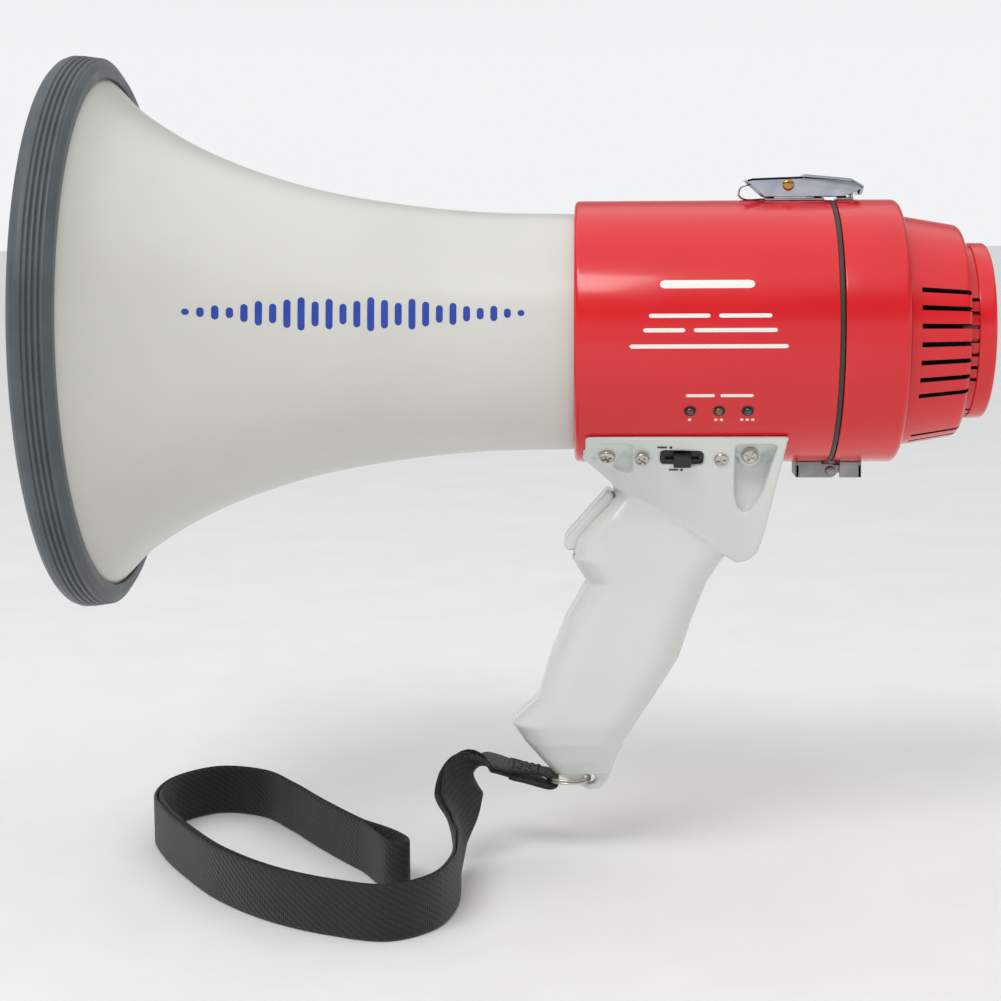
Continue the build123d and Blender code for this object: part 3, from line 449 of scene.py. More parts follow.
# ---- geometry nodes -------------------------------------------------------------------------------
def node_tree(name, *inputs):
    """Geometry tree with named inputs, its group input and its group output."""
    tree = bpy.data.node_groups.new(name, "GeometryNodeTree")
    tree.interface.new_socket("Geometry", in_out="INPUT", socket_type="NodeSocketGeometry")
    for label, kind in inputs:
        tree.interface.new_socket(label, in_out="INPUT", socket_type=kind)
    tree.interface.new_socket("Geometry", in_out="OUTPUT", socket_type="NodeSocketGeometry")
    return tree, tree.nodes.new("NodeGroupInput"), tree.nodes.new("NodeGroupOutput")


def run_tree(name, host, tree, **inputs):
    """Runs the tree on a mesh or curve and returns the result as a plain mesh object."""
    obj = bpy.data.objects.new(name, host)
    bpy.context.scene.collection.objects.link(obj)
    modifier = obj.modifiers.new("nodes", "NODES")
    modifier.node_group = tree
    for item in tree.interface.items_tree:
        if item.in_out == "INPUT" and item.name in inputs:
            modifier[item.identifier] = inputs[item.name]
    depsgraph = bpy.context.evaluated_depsgraph_get()
    mesh = bpy.data.meshes.new_from_object(obj.evaluated_get(depsgraph), preserve_all_data_layers=True,
                                           depsgraph=depsgraph)
    obj.modifiers.clear()
    bpy.data.objects.remove(obj)
    plain = bpy.data.objects.new(name, mesh)
    bpy.context.scene.collection.objects.link(plain)
    return plain


def fastener_tree():
    """Sets one fastener on each point, turned to the point's own rotation."""
    tree, start_node, end = node_tree("fasteners", ("Fastener", "NodeSocketObject"),
                                      ("Finish", "NodeSocketMaterial"))
    source = add(tree, "GeometryNodeObjectInfo", None, {"Object": start_node.outputs["Fastener"]})
    turn = add(tree, "GeometryNodeInputNamedAttribute", {"Name": "turn"}, data_type="FLOAT_VECTOR")
    rotate = add(tree, "FunctionNodeEulerToRotation", None, {0: turn.outputs["Attribute"]})
    placed = add(tree, "GeometryNodeInstanceOnPoints", None,
                 {"Points": start_node.outputs[0], "Instance": source.outputs["Geometry"],
                  "Rotation": rotate.outputs[0]})
    real = add(tree, "GeometryNodeRealizeInstances", None, {0: placed.outputs[0]})
    finish = add(tree, "GeometryNodeSetMaterial", None,
                 {"Geometry": real.outputs[0], "Material": start_node.outputs["Finish"]})
    tree.links.new(finish.outputs[0], end.inputs[0])
    return tree


def stitch_tree():
    """Lays stitches of an even length along a seam line."""
    tree, start_node, end = node_tree("stitches", ("Pitch", "NodeSocketFloat"),
                                      ("Thread", "NodeSocketMaterial"))
    even = add(tree, "GeometryNodeResampleCurve", None,
               {"Curve": start_node.outputs[0], "Length": start_node.outputs["Pitch"]}, mode="LENGTH")
    tangent = add(tree, "GeometryNodeInputTangent")
    align = add(tree, "FunctionNodeAlignRotationToVector", None, {"Vector": tangent.outputs[0]}, axis="X")
    bead = add(tree, "GeometryNodeMeshUVSphere", {"Segments": 10, "Rings": 7, "Radius": 0.0004})
    long = add(tree, "GeometryNodeTransform", {"Scale": (2.3, 1.0, 0.75)}, {"Geometry": bead.outputs[0]})
    points = add(tree, "GeometryNodeInstanceOnPoints", None,
                 {"Points": even.outputs[0], "Instance": long.outputs[0], "Rotation": align.outputs[0]})
    real = add(tree, "GeometryNodeRealizeInstances", None, {0: points.outputs[0]})
    finish = add(tree, "GeometryNodeSetMaterial", None,
                 {"Geometry": real.outputs[0], "Material": start_node.outputs["Thread"]})
    tree.links.new(finish.outputs[0], end.inputs[0])
    return tree


FASTENERS, STITCHES = fastener_tree(), stitch_tree()


def screw_model(head_r, head_h):
    """Pan head with a cross recess, standing on Z = 0 at the origin, in metres."""
    dome = [(-1.2, 0.0), (-1.2, head_r * 0.5), (0.0, head_r * 0.5), (0.0, head_r), (head_h * 0.35, head_r)]
    dome += [(head_h * (0.35 + 0.65 * sin(a)), head_r * (1 - 0.42 * (1 - cos(a))))
             for a in np.linspace(0.2, pi / 2, 7)]
    dome.append((head_h, 0.0))
    head = turned("head", dome, M["nickel"], (GRIP_X, 0, GRIP_Z), (0, 0, 1), 40)
    for wide, deep in ((head_r * 1.25, head_r * 0.30), (head_r * 0.30, head_r * 1.25)):
        at = Matrix.Translation((GRIP_X, 0, GRIP_Z + head_h))
        cutter = box("cutter", (wide, deep, head_h * 1.1), M["nickel"], at, 0)
        modifier = head.modifiers.new("cut", "BOOLEAN")
        modifier.object, modifier.operation, modifier.solver = cutter, "DIFFERENCE", "EXACT"
        bake(head)
        bpy.data.objects.remove(cutter)
    return round_edges(head, 0.07, 2)


def rivet_model(head_r, head_h):
    """Domed rivet head, standing on Z = 0 at the origin, in metres."""
    dome = [(-0.8, 0.0), (-0.8, head_r * 0.5), (0.0, head_r * 0.5), (0.0, head_r)]
    dome += [(head_h * sin(a), head_r * cos(a) ** 0.8) for a in np.linspace(0.25, 1.45, 7)] + [(head_h, 0.0)]
    return turned("rivet", dome, M["zinc"], (GRIP_X, 0, GRIP_Z), (0, 0, 1), 32)


def set_fasteners(name, model, places, finish):
    """One mesh of fasteners at (point, outward direction, spin) places in the horn frame."""
    mesh = bpy.data.meshes.new(name)
    mesh.from_pydata([tuple(p) for p in row([place[0] for place in places])], [], [])
    turns = mesh.attributes.new("turn", "FLOAT_VECTOR", "POINT")
    for i, (_, out, spin) in enumerate(places):
        tilt = Vector((0, 0, 1)).rotation_difference(Vector(out)).to_matrix()
        turn = tilt @ Matrix.Rotation(radians(spin), 3, "Z")
        turns.data[i].vector = turn.to_euler()
    return run_tree(name, mesh, FASTENERS, Fastener=model, Finish=finish)


# ---- horn -----------------------------------------------------------------------------------------
BELL_OUTLINE = [(8.0, 101.4), (14.0, 96.4), (24.0, 86.2), (36.0, 77.7), (50.0, 69.9), (70.0, 61.6),
                (95.0, 54.2), (125.0, 48.8), (155.0, 45.7), (192.0, 44.6)]
BELL_WALL = 2.2
bell_line = through(BELL_OUTLINE, 120)


def bell_radius(x):
    """Outside radius of the bell at that distance back from its front plane."""
    return float(np.interp(x, bell_line[:, 0], bell_line[:, 1]))


def bell():
    """Flared wall with a closed back plate round the throat."""
    slope = np.gradient(bell_line, axis=0)
    length = np.linalg.norm(slope, axis=1)
    inside = bell_line + BELL_WALL * np.column_stack([slope[:, 1], -slope[:, 0]]) / length[:, None]
    loop = [tuple(p) for p in bell_line] + [(194.0, 44.6), (194.0, 12.0), (191.6, 12.0), (191.6, 38.5)]
    loop += [tuple(p) for p in inside[::-1]]
    return turned("bell", loop, M["bell"], steps=256)


def rim():
    """Rubber guard that wraps the bell's lip, with four ribs round its edge."""
    ribs = []
    for i in range(4):
        x, crest = 6.2 + 1.95 * i, 104.85 - 0.28 * i
        ribs += [(x, crest - 0.9), (x + 0.45, crest), (x + 1.2, crest), (x + 1.6, crest - 1.0)]
    front = [(2.6, 96.8), (1.0, 97.8), (0.0, 99.6), (0.0, 101.2), (0.6, 102.9), (2.0, 104.3), (4.0, 105.0),
             (5.7, 104.9)]
    tail = [(14.2, 102.6), (15.6, 100.4), (15.6, 96.4), (12.0, 97.2), (7.2, 100.6), (6.0, 99.4)]
    radii = [0.5] * len(front) + [0.3] * len(ribs) + [0.9, 0.7, 0.4, 0.0, 0.0, 0.3]
    return turned("rim_guard", soften(front + ribs + tail, radii, parts=3), M["rim"], steps=256)


def reflector():
    """Round-nosed cone in the horn's mouth, held by three struts."""
    outline = [(62.0, 0.0), (62.8, 8.0), (66.2, 16.5), (74.0, 23.5), (90.0, 28.0), (118.0, 30.6),
               (150.0, 32.0)]
    outer = through(outline, 60)
    outer[0] = (62.0, 0.0)
    inner = [(x + 1.9, max(r - 1.9, 0.0)) for x, r in outer[::-1]]
    inner[0] = (150.0, 30.1)
    bowl = turned("bowl", [tuple(p) for p in outer] + inner, M["bell"], steps=128)
    ribs = []
    for angle in (30, 150, 270):
        at = Matrix.Rotation(radians(angle), 4, "X") @ Matrix.Translation((134.0, 0.0, 21.4))
        ribs.append(box("rib", (24.0, 1.8, 16.0), M["bell"], at, 0.4))
    return join("reflector", bowl, *ribs)


ship(bell(), "main", "bell_abs", "horn_bell")
ship(rim(), "main", "rim_rubber", "rim_guard")
ship(reflector(), "main", "reflector_abs", "reflector")


# ---- printed marks --------------------------------------------------------------------------------
def bar(x0, x1, a0, a1, radius_at, lift=0.06):
    """Thin rounded bar of ink on a turned surface, between two X values and two angles in degrees."""
    mid, half = (x0 + x1) / 2, (x1 - x0) / 2
    tall = radians(a1 - a0) * radius_at(mid)
    across = half * 2 < tall                                   # caps at the ends of the longer way
    cap = min(half, tall / 2)
    steps, points = 14, []
    for i in range(steps + 1):
        t = 0.5 - 0.5 * cos(pi * i / steps)
        for k in (-1.0, -0.34, 0.34, 1.0):
            if across:
                reach = t * tall
                inset = max(0.0, cap - min(reach, tall - reach))
                wide = half * (1 - (1 - (1 - (inset / cap) ** 2) ** 0.5) * 0.98)
                x, a = mid + wide * k, radians(a0) + reach / radius_at(mid)
            else:
                reach = t * 2 * half
                inset = max(0.0, cap - min(reach, 2 * half - reach))
                wide = tall / 2 * (1 - (1 - (1 - (inset / cap) ** 2) ** 0.5) * 0.98)
                x, a = x0 + reach, radians((a0 + a1) / 2) + wide * k / radius_at(mid)
            points.append((x, a))
    verts = []
    for raised in (lift, -0.05):
        for x, a in points:
            r = radius_at(x) + raised
            verts.append((x, -r * cos(a), r * sin(a)))
    n = len(points)
    grid = [(i * 4 + k, i * 4 + k + 1, i * 4 + k + 5, i * 4 + k + 4) for i in range(steps) for k in range(3)]
    faces = grid + [tuple(n + v for v in f[::-1]) for f in grid]
    edge = list(range(4)) + [i * 4 + 3 for i in range(1, steps + 1)] + \
        [steps * 4 + k for k in (2, 1, 0)] + [i * 4 for i in range(steps - 1, 0, -1)]
    faces += [(edge[i], edge[(i + 1) % len(edge)], n + edge[(i + 1) % len(edge)], n + edge[i])
              for i in range(len(edge))]
    return verts, faces


def print_on(name, bars, radius_at, material, body, slot):
    """One mesh of ink bars, each given as x0, x1, low angle, high angle."""
    verts, faces = [], []
    for x0, x1, a0, a1 in bars:
        v, f = bar(x0, x1, a0, a1, radius_at)
        faces += [tuple(i + len(verts) for i in face) for face in f]
        verts += v
    return ship(make(name, row(verts), faces, material), body, slot)


# Level bars on the bell: a plain rising and falling row.
levels = [2.2, 3.4, 5.0, 3.8, 6.4, 8.8, 7.0, 10.2, 12.0, 9.0, 11.0, 7.4, 9.6, 12.4, 10.4, 8.2, 11.2,
          9.0, 6.4, 8.0, 5.6, 4.2, 5.6, 3.4, 2.2]
bell_bars = []
for i, tall in enumerate(levels):
    x = 54.5 + 4.9 * i
    centre = 9.2 + 2.4 * i / 24
    half = tall / 2 / radians(1) / bell_radius(x)
    bell_bars.append((x - 1.25, x + 1.25, centre - half, centre + half))
print_on("bell_print", bell_bars, bell_radius, M["blue"], "main", "bell_abs")

# Plain stripes where a rating label would be, and dots that count up under the battery lights.
stripes = [(222.0, 256.0, 21.0, 24.6), (218.0, 240.0, 8.5, 10.2), (243.0, 262.0, 8.5, 10.2),
           (216.0, 231.0, 2.5, 4.2), (234.0, 264.0, 2.5, 4.2), (211.0, 268.0, -4.2, -2.5),
           (231.5, 242.0, -25.7, -24.3), (244.0, 256.0, -25.7, -24.3)]
for i, (_, x, _) in enumerate(LIGHTS):
    for k in range(i + 1):
        at = x + 2.0 * (k - i / 2)
        stripes.append((at - 0.62, at + 0.62, -38.2, -36.8))
print_on("body_print", stripes, lambda x: BODY_R, M["white"], "main", "red_abs")


# ---- body and rear --------------------------------------------------------------------------------
def body():
    """Amplifier and battery tube, with a front flange over the bell's end."""
    loop = [(191.1, 44.9), (191.1, BODY_R), (286.3, BODY_R), (286.3, 46.95), (193.7, 46.95), (193.7, 44.9)]
    return turned("body", soften(loop, [0.3, 2.0, 0.5, 0.2, 0.3, 0.2]), M["red"], steps=256)


def cover():
    """Cup that closes the tube, with a hole under the vented housing."""
    loop = [(288.3, 46.95), (288.3, BODY_R), (312.0, BODY_R), (312.0, 22.0), (309.8, 22.0), (309.8, 46.95)]
    return turned("cover", soften(loop, [0.2, 0.5, 2.6, 0.2, 0.2, 0.3]), M["red"], steps=256)


SLOTS = [group + 9.0 * (i - 3) for group in (184.0, 270.0, -4.0) for i in range(7)]


def vented_housing():
    """Cone with slots that run over its shoulder, built wall by wall round each slot."""
    outer = soften([(312.0, 37.5), (312.0, 43.5), (335.0, 39.5), (335.0, 32.2), (338.4, 32.2)],
                   [0, 0.8, 2.9, 0.6, 0], closed=False, parts=6)
    dense = []
    for a, b in zip(outer, outer[1:]):
        n = max(1, int(hypot(b[0] - a[0], b[1] - a[1]) / 1.6))
        dense += [(a[0] + (b[0] - a[0]) * k / n, a[1] + (b[1] - a[1]) * k / n) for k in range(n)]
    dense.append(outer[-1])
    line = np.array(dense)
    slope = np.gradient(line, axis=0)
    slope /= np.linalg.norm(slope, axis=1)[:, None]
    inside = line + 2.1 * np.column_stack([slope[:, 1], -slope[:, 0]])
    inside[:, 0] = np.clip(inside[:, 0], 312.0, 338.4)
    inside[0], inside[-1] = (314.1, 37.5), (338.4, 30.2)
    first = next(i for i, p in enumerate(line) if p[0] > 314.6 and p[1] > 39)
    last = next(i for i, p in enumerate(line) if p[0] > 337.0)
    half = 1.25                                                # half a slot, in degrees
    angles, kinds = [], []
    marks = sorted((s % 360 - half, s % 360 + half) for s in SLOTS)
    for i, (low, high) in enumerate(marks):
        following = marks[(i + 1) % len(marks)][0] + (360 if i == len(marks) - 1 else 0)
        angles.append(low)
        kinds.append(True)
        n = max(1, round((following - high) / 2.4))
        for k in range(n):
            angles.append(high + (following - high) * k / n)
            kinds.append(False)
    total, n = len(angles), len(line)
    ring = [(cos(radians(a)), sin(radians(a))) for a in angles]
    verts = [(x, r * c, r * s) for c, s in ring for x, r in line] + \
            [(x, r * c, r * s) for c, s in ring for x, r in inside]
    shift = total * n
    faces, dark = [], []
    for i in range(total):
        nxt = (i + 1) % total
        for j in range(n - 1):
            outside = (i * n + j, i * n + j + 1, nxt * n + j + 1, nxt * n + j)
            if not (kinds[i] and first <= j < last):
                faces.append(outside)
                dark.append(len(faces))
                faces.append(tuple(shift + v for v in outside[::-1]))
        for j in (0, n - 1):
            faces.append((i * n + j, nxt * n + j, shift + nxt * n + j, shift + i * n + j))
        if kinds[i]:
            dark += range(len(faces), len(faces) + 2 + 2 * (last - first))
            for j in (first, last):
                faces.append((i * n + j, nxt * n + j, shift + nxt * n + j, shift + i * n + j))
            for k in (i, nxt):
                faces += [(k * n + j, k * n + j + 1, shift + k * n + j + 1, shift + k * n + j)
                          for j in range(first, last)]
    # the slot walls and the housing's inside take the matt black: painted shade in and behind the slots
    housing = make("housing", row(verts), faces, M["red"], 34, inner=(dark, M["dark"]))
    # black lining behind the slots and a cuff at their back end: dark sheets put in as painted shade,
    # standing for the shade inside the housing
    cloth = [(315.0, 38.4), (331.5, 35.6), (331.5, 35.0), (315.0, 37.8)]
    cuff = [(331.5, 35.6), (332.6, 31.4), (332.6, 30.9), (331.5, 35.0)]
    linings = [turned(name, loop, M["dark"]) for name, loop in (("cloth", cloth), ("cuff", cuff))]
    return join("vented_housing", housing, *linings)


def end_ring():
    """Rounded collar the user speaks into."""
    loop = [(338.4, 30.2), (338.4, 33.0), (345.0, 33.0), (345.0, 29.6), (332.8, 29.6), (332.8, 30.2)]
    return turned("end_ring", soften(loop, [0.1, 0.5, 1.7, 0.9, 0.1, 0.1]), M["red"], steps=160)


ship(body(), "main", "red_abs", "body_tube")
ship(cover(), "cover", "red_abs", "rear_cover")
ship(vented_housing(), "cover", "red_abs", "mic_housing")
ship(end_ring(), "cover", "red_abs", "end_ring")
gasket_loop = soften([(286.32, 47.0), (286.32, 49.3), (287.98, 49.3), (287.98, 47.0)], 0.35)
ship(turned("gasket", gasket_loop, M["gasket"], steps=224), "main", "gasket_rubber", "cover_gasket")


def volume_knob():
    """Knurled knob with a pointer, and its shaft."""
    z = 15.5
    flutes, verts, faces = 24, [], []
    levels_up = [(340.8, 0.96), (341.1, 1.0), (344.1, 0.97), (344.5, 0.93), (344.6, 0.86)]
    n = flutes * 6
    for x, share in levels_up:
        for i in range(n):
            a = 2 * pi * i / n
            r = 7.4 * share - 0.35 * abs(sin(a * flutes / 2)) ** 2
            verts.append((x, r * cos(a), z + r * sin(a)))
    for j in range(len(levels_up) - 1):
        faces += [(j * n + i, j * n + (i + 1) % n, (j + 1) * n + (i + 1) % n, (j + 1) * n + i)
                  for i in range(n)]
    faces += [tuple(range(n)), tuple(range((len(levels_up) - 1) * n, len(levels_up) * n))]
    knob = make("knob_cap", row(verts), faces, M["black"])
    pointer = box("pointer", (0.3, 0.9, 4.6), M["white"], Matrix.Translation((344.62, 0, z + 4.0)), 0)
    shaft = turned("shaft", [(325, 0), (325, 3.0), (341, 3.0), (341, 0)], M["nickel"], (0, 0, z),
                   (1, 0, 0), 40)
    return join("volume_knob_piece", knob, pointer, shaft)


ship(volume_knob(), "knob", "knob_plastic", "volume_knob")


# ---- battery lights -------------------------------------------------------------------------------
LIGHT_ANGLE = atan2(-26.7, 41.6)
for name, x, material in LIGHTS:
    out = (0, -cos(LIGHT_ANGLE), sin(LIGHT_ANGLE))
    foot = (x, out[1] * BODY_R, out[2] * BODY_R)
    dome = [(-6.6, 0), (-6.6, 1.5), (0, 1.5)]
    dome += [(1.5 * sin(a), 1.5 * cos(a)) for a in np.linspace(0.1, 1.5, 10)]
    lamp = turned(name + "_lens", dome + [(1.5, 0.0)], M[material], foot, out, 40, 60)
    collar = turned("collar", soften([(-0.5, 1.56), (-0.5, 2.3), (0.28, 2.2), (0.28, 1.56)], 0.12, parts=3),
                    M["black"], foot, out, 40)
    ship(join(name + "_piece", lamp, collar), "main", "lens_dark", name)


# ---- latch ----------------------------------------------------------------------------------------
def latch_lever():
    """Pressed lever: two cheeks, a flat web and the hook over the keeper."""
    side = [(254.9, 56.9), (257.6, 57.5), (276.5, 58.1), (294.6, 56.5), (299.0, 53.9), (294.8, 51.6),
            (291.4, 50.6), (262.2, 50.6)]
    cheeks = [prism("cheek", side, y, y + 1.0, M["chrome"], 0.5, 0.18) for y in (-7.4, 6.4)]
    web = [(254.9, 56.9), (257.6, 57.5), (276.5, 58.1), (276.5, 57.1), (257.8, 56.5), (255.9, 56.1)]
    hook = [(276.5, 57.1), (276.5, 58.9), (294.2, 57.2), (298.8, 54.6), (299.0, 53.9), (298.2, 51.2),
            (297.2, 51.2), (297.8, 54.0), (293.8, 56.2)]
    return join("lever", *cheeks, prism("web", web, -7.4, 7.4, M["chrome"], 0.2, 0.15),
                prism("hook", hook, -7.4, 7.4, M["chrome"], 0.5, 0.2))


def bent_plate(name, x0, x1, half, thick, material, top):
    """Sheet that hugs the body, on top of it or under it."""
    verts, faces, n = [], [], 12
    reach = np.arcsin(half / BODY_R)
    for radius in (BODY_R + 0.02, BODY_R + thick):
        for i in range(n + 1):
            a = -reach + 2 * reach * i / n
            for x in (x0, x1):
                verts.append((x, radius * sin(a), top * radius * cos(a)))
    m = 2 * (n + 1)
    for i in range(n):
        a, b = 2 * i, m + 2 * i
        faces += [(a, a + 1, a + 3, a + 2), (b, b + 2, b + 3, b + 1),
                  (a, a + 2, b + 2, b), (a + 1, b + 1, b + 3, a + 3)]
    faces += [(0, m, m + 1, 1), (2 * n, 2 * n + 1, m + 2 * n + 1, m + 2 * n)]
    return round_edges(make(name, row(verts), faces, material), 0.2, 2, 50)


def latch_base():
    """Foot on the body and two ears that hold the pin."""
    ear = [(265.5, 49.4), (279.0, 49.4), (276.5, 53.0), (273.6, 56.3), (268.8, 56.3), (266.0, 53.0)]
    ears = [prism("ear", ear, y, y + 1.0, M["chrome"], 0.8, 0.15) for y in (-6.0, 5.0)]
    return join("base", bent_plate("foot", 262.4, 284.5, 6.1, 0.9, M["chrome"], 1), *ears)


def pivot_pin(name, x, z, half, r, head_r, material, body, slot, node):
    """Pin with rolled heads, across the mid-plane."""
    profile = [(-half - 1.0, 0), (-half - 1.0, head_r * 0.6), (-half - 0.7, head_r * 0.88),
               (-half - 0.3, head_r), (-half, head_r), (-half, r), (half, r), (half, head_r),
               (half + 0.3, head_r), (half + 0.7, head_r * 0.88), (half + 1.0, head_r * 0.6),
               (half + 1.0, 0)]
    ship(turned(name, profile, M[material], (x, 0, z), (0, 1, 0), 40), body, slot, node)


def ribbon(name, path, widths, across, thick, material):
    """Flat band along a path: width and width direction at each point, edges rounded, UVs in metres."""
    path, n = np.asarray(path, float), len(path)
    tangent = np.gradient(path, axis=0)
    tangent /= np.linalg.norm(tangent, axis=1)[:, None]
    across = across - (across * tangent).sum(1)[:, None] * tangent
    across /= np.linalg.norm(across, axis=1)[:, None]
    normal = np.cross(tangent, across)
    rim = [(-0.5, 0.0), (-0.485, 0.32), (-0.44, 0.5), (-0.2, 0.5), (0.0, 0.5), (0.2, 0.5), (0.44, 0.5),
           (0.485, 0.32), (0.5, 0.0), (0.485, -0.32), (0.44, -0.5), (0.2, -0.5), (0.0, -0.5),
           (-0.2, -0.5), (-0.44, -0.5), (-0.485, -0.32)]
    run = np.concatenate([[0], np.cumsum(np.linalg.norm(np.diff(path, axis=0), axis=1))]) / 1000
    verts, uvs = [], []
    for i in range(n):
        for u, v in rim:
            verts.append(path[i] + across[i] * widths[i] * u + normal[i] * thick * v)
            uvs.append((run[i], widths[i] * u / 1000))
    m = len(rim)
    faces = [(i * m + k, i * m + (k + 1) % m, (i + 1) * m + (k + 1) % m, (i + 1) * m + k)
             for i in range(n - 1) for k in range(m)]
    faces += [tuple(range(m)), tuple((n - 1) * m + k for k in range(m - 1, -1, -1))]
    return make(name, row(verts), faces, material, 50, uvs)


ship(latch_lever(), "latch", "latch_chrome", "latch_lever")
ship(latch_base(), "main", "latch_chrome", "latch_base")
pivot_pin("latch_pin_piece", 270.9, 54.9, 7.5, 1.3, 2.2, "brass", "main", "rivet_brass", "latch_pin")
LEAF_STEPS = 40
spring_path = through([(262.3, 0, 49.8), (255.0, 0, 49.75), (252.9, 0, 51.2), (253.6, 0, 54.0),
                       (257.4, 0, 55.3)], LEAF_STEPS)
leaf_across = np.tile([0.0, 1.0, 0.0], (LEAF_STEPS, 1))
leaf = ribbon("leaf", spring_path, [8.0] * LEAF_STEPS, leaf_across, 0.5, M["chrome"])
ship(leaf, "main", "latch_chrome", "latch_spring")
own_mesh(leaf)
lip = prism("lip", [(294.4, 50.0), (294.4, 53.5), (295.4, 53.5), (295.4, 50.0)], -4.4, 4.4,
            M["chrome"], 0.3, 0.15)
keeper_foot = bent_plate("keeper_foot", 289.4, 295.4, 5.5, 0.9, M["chrome"], 1)
ship(join("keeper", keeper_foot, lip), "cover", "latch_chrome", "latch_keeper")


# ---- hinge ----------------------------------------------------------------------------------------
def hinge_leaf(name, x0, x1, lip_x, knuckle):
    """Folded sheet leaf: foot on the body, two cheeks and a turned end, with or without pin ears."""
    low, cheeks = -55.0, []
    for y in (-8.2, 7.0):
        if knuckle:
            arc = [(HINGE_X + 2.6 * cos(a), HINGE_Z + 2.6 * sin(a))
                   for a in np.linspace(pi / 2, -pi / 2, 12)]
            outline = [(x0, low), (x0, -48.9), (x1, -48.9), (x1, -49.8)] + arc
        else:
            outline = [(x0, low), (x0, -48.9), (x1, -48.9), (x1, low)]
        cheeks.append(prism("cheek", outline, y, y + 1.2, M["zinc"], 0.0, 0.16))
    end = prism("end", [(lip_x, low), (lip_x, -50.2), (lip_x + 1.2, -50.2), (lip_x + 1.2, low)],
                -8.2, 8.2, M["zinc"], 0.0, 0.2)
    foot = bent_plate("foot", x0, x1, 8.2, 1.2, M["zinc"], -1)
    pieces = cheeks + [end, foot]
    if not knuckle:
        tongue = [(HINGE_X, -53.1), (HINGE_X, -50.5), (291.4, -50.3), (292.6, -50.3), (292.6, -53.1)]
        pieces.append(prism("tongue", tongue, -6.65, 6.65, M["zinc"], 0.0, 0.12))
        wall = [(-6.65, 1.29), (-6.65, 2.2), (6.65, 2.2), (6.65, 1.29)]
        pieces.append(turned("roll", wall, M["zinc"], (HINGE_X, 0, HINGE_Z), (0, 1, 0), 40))
    return join(name, *pieces)


ship(hinge_leaf("body_leaf", 275.0, 284.6, 275.0, True), "main", "hinge_zinc", "hinge_body_leaf")
ship(hinge_leaf("cover_leaf", 291.4, 299.6, 298.4, False), "cover", "hinge_zinc", "hinge_cover_leaf")
pivot_pin("hinge_pin_piece", HINGE_X, HINGE_Z, 8.3, 1.25, 1.9, "zinc", "main", "hinge_zinc",
          "hinge_pin")


# ---- fasteners ------------------------------------------------------------------------------------
big, medium, rivet = screw_model(3.1, 2.1), screw_model(2.7, 1.5), rivet_model(1.5, 0.8)
TILT = 0.5                                                     # the side face leans in by this angle
FACE_OUT = Vector((0, -cos(TILT), -sin(TILT)))


def face_half(x, z):
    """Half width of the handle's leaning side face at a place on it."""
    crease = -54.7 - 0.63 * (x - 201.0)
    return 35.2 - 20.2 * (-36.6 - z) / (-36.6 - crease)


saddle_places = []
for side in (-1, 1):
    lean = np.arctan2(20.2, 19.5)
    front_seat = side * (face_half(203.2, SCREW_Z) - 1.0)
    saddle_places.append(((203.2, front_seat, SCREW_Z), (0, side * cos(lean), -sin(lean)), 20))
    saddle_places.append(((256.0, side * REAR_SEAT, SCREW_Z), (0, side, 0), 65))
switch_face = -face_half(SWITCH_X, SWITCH_Z)
switch_places = [((x, switch_face - 0.1, SWITCH_Z), FACE_OUT, spin)
                 for x, spin in ((216.2, 50), (245.4, 10))]
shell_places = [((x, 9.5, z), (0, 1, 0), spin)
                for x, z, spin in ((238, -76, 10), (214, -112, 70), (196, -152, 35))]
for name, head, places, node in (("saddle_screw_heads", big, saddle_places, "saddle_screws"),
                                 ("switch_screw_heads", medium, switch_places, "switch_screws"),
                                 ("shell_screw_heads", medium, shell_places, "handle_screws")):
    ship(set_fasteners(name, head, places, M["nickel"]), "main", "screw_nickel", node)


def on_body(x, y, side, lift):
    """Place for a fastener on the body, on top (side 1) or underneath (side -1)."""
    a = np.arcsin(y / BODY_R)
    out = Vector((0, sin(a), side * cos(a)))
    return (x, *(out.yz * (BODY_R + lift))), out, 0


for name, spots, side, lift, finish, body_name, slot, node in (
        ("latch_rivet_heads", ((264.2, -3.6), (264.2, 3.6), (282.6, 0.0)), 1, 0.9, "brass", "main",
         "rivet_brass", "latch_rivets"),
        ("keeper_rivet_heads", ((291.6, -3.2), (291.6, 3.2)), 1, 0.9, "brass", "cover",
         "rivet_brass", "keeper_rivets"),
        ("body_leaf_rivet_heads", ((278.4, -4.4), (278.4, 4.4), (282.4, 0.0)), -1, 1.2, "zinc", "main",
         "hinge_zinc", "hinge_body_rivets"),
        ("cover_leaf_rivet_heads", ((295.4, -4.2), (295.4, 4.2)), -1, 1.2, "zinc", "cover", "hinge_zinc",
         "hinge_cover_rivets")):
    places = [on_body(x, y, side, lift) for x, y in spots]
    ship(set_fasteners(name, rivet, places, M[finish]), body_name, slot, node)
for model in (big, medium, rivet):
    bpy.data.objects.remove(model)


# ---- handle ---------------------------------------------------------------------------------------
SEATS = ((203.2, lambda z: face_half(203.2, z) - 1.0), (256.0, lambda z: REAR_SEAT))


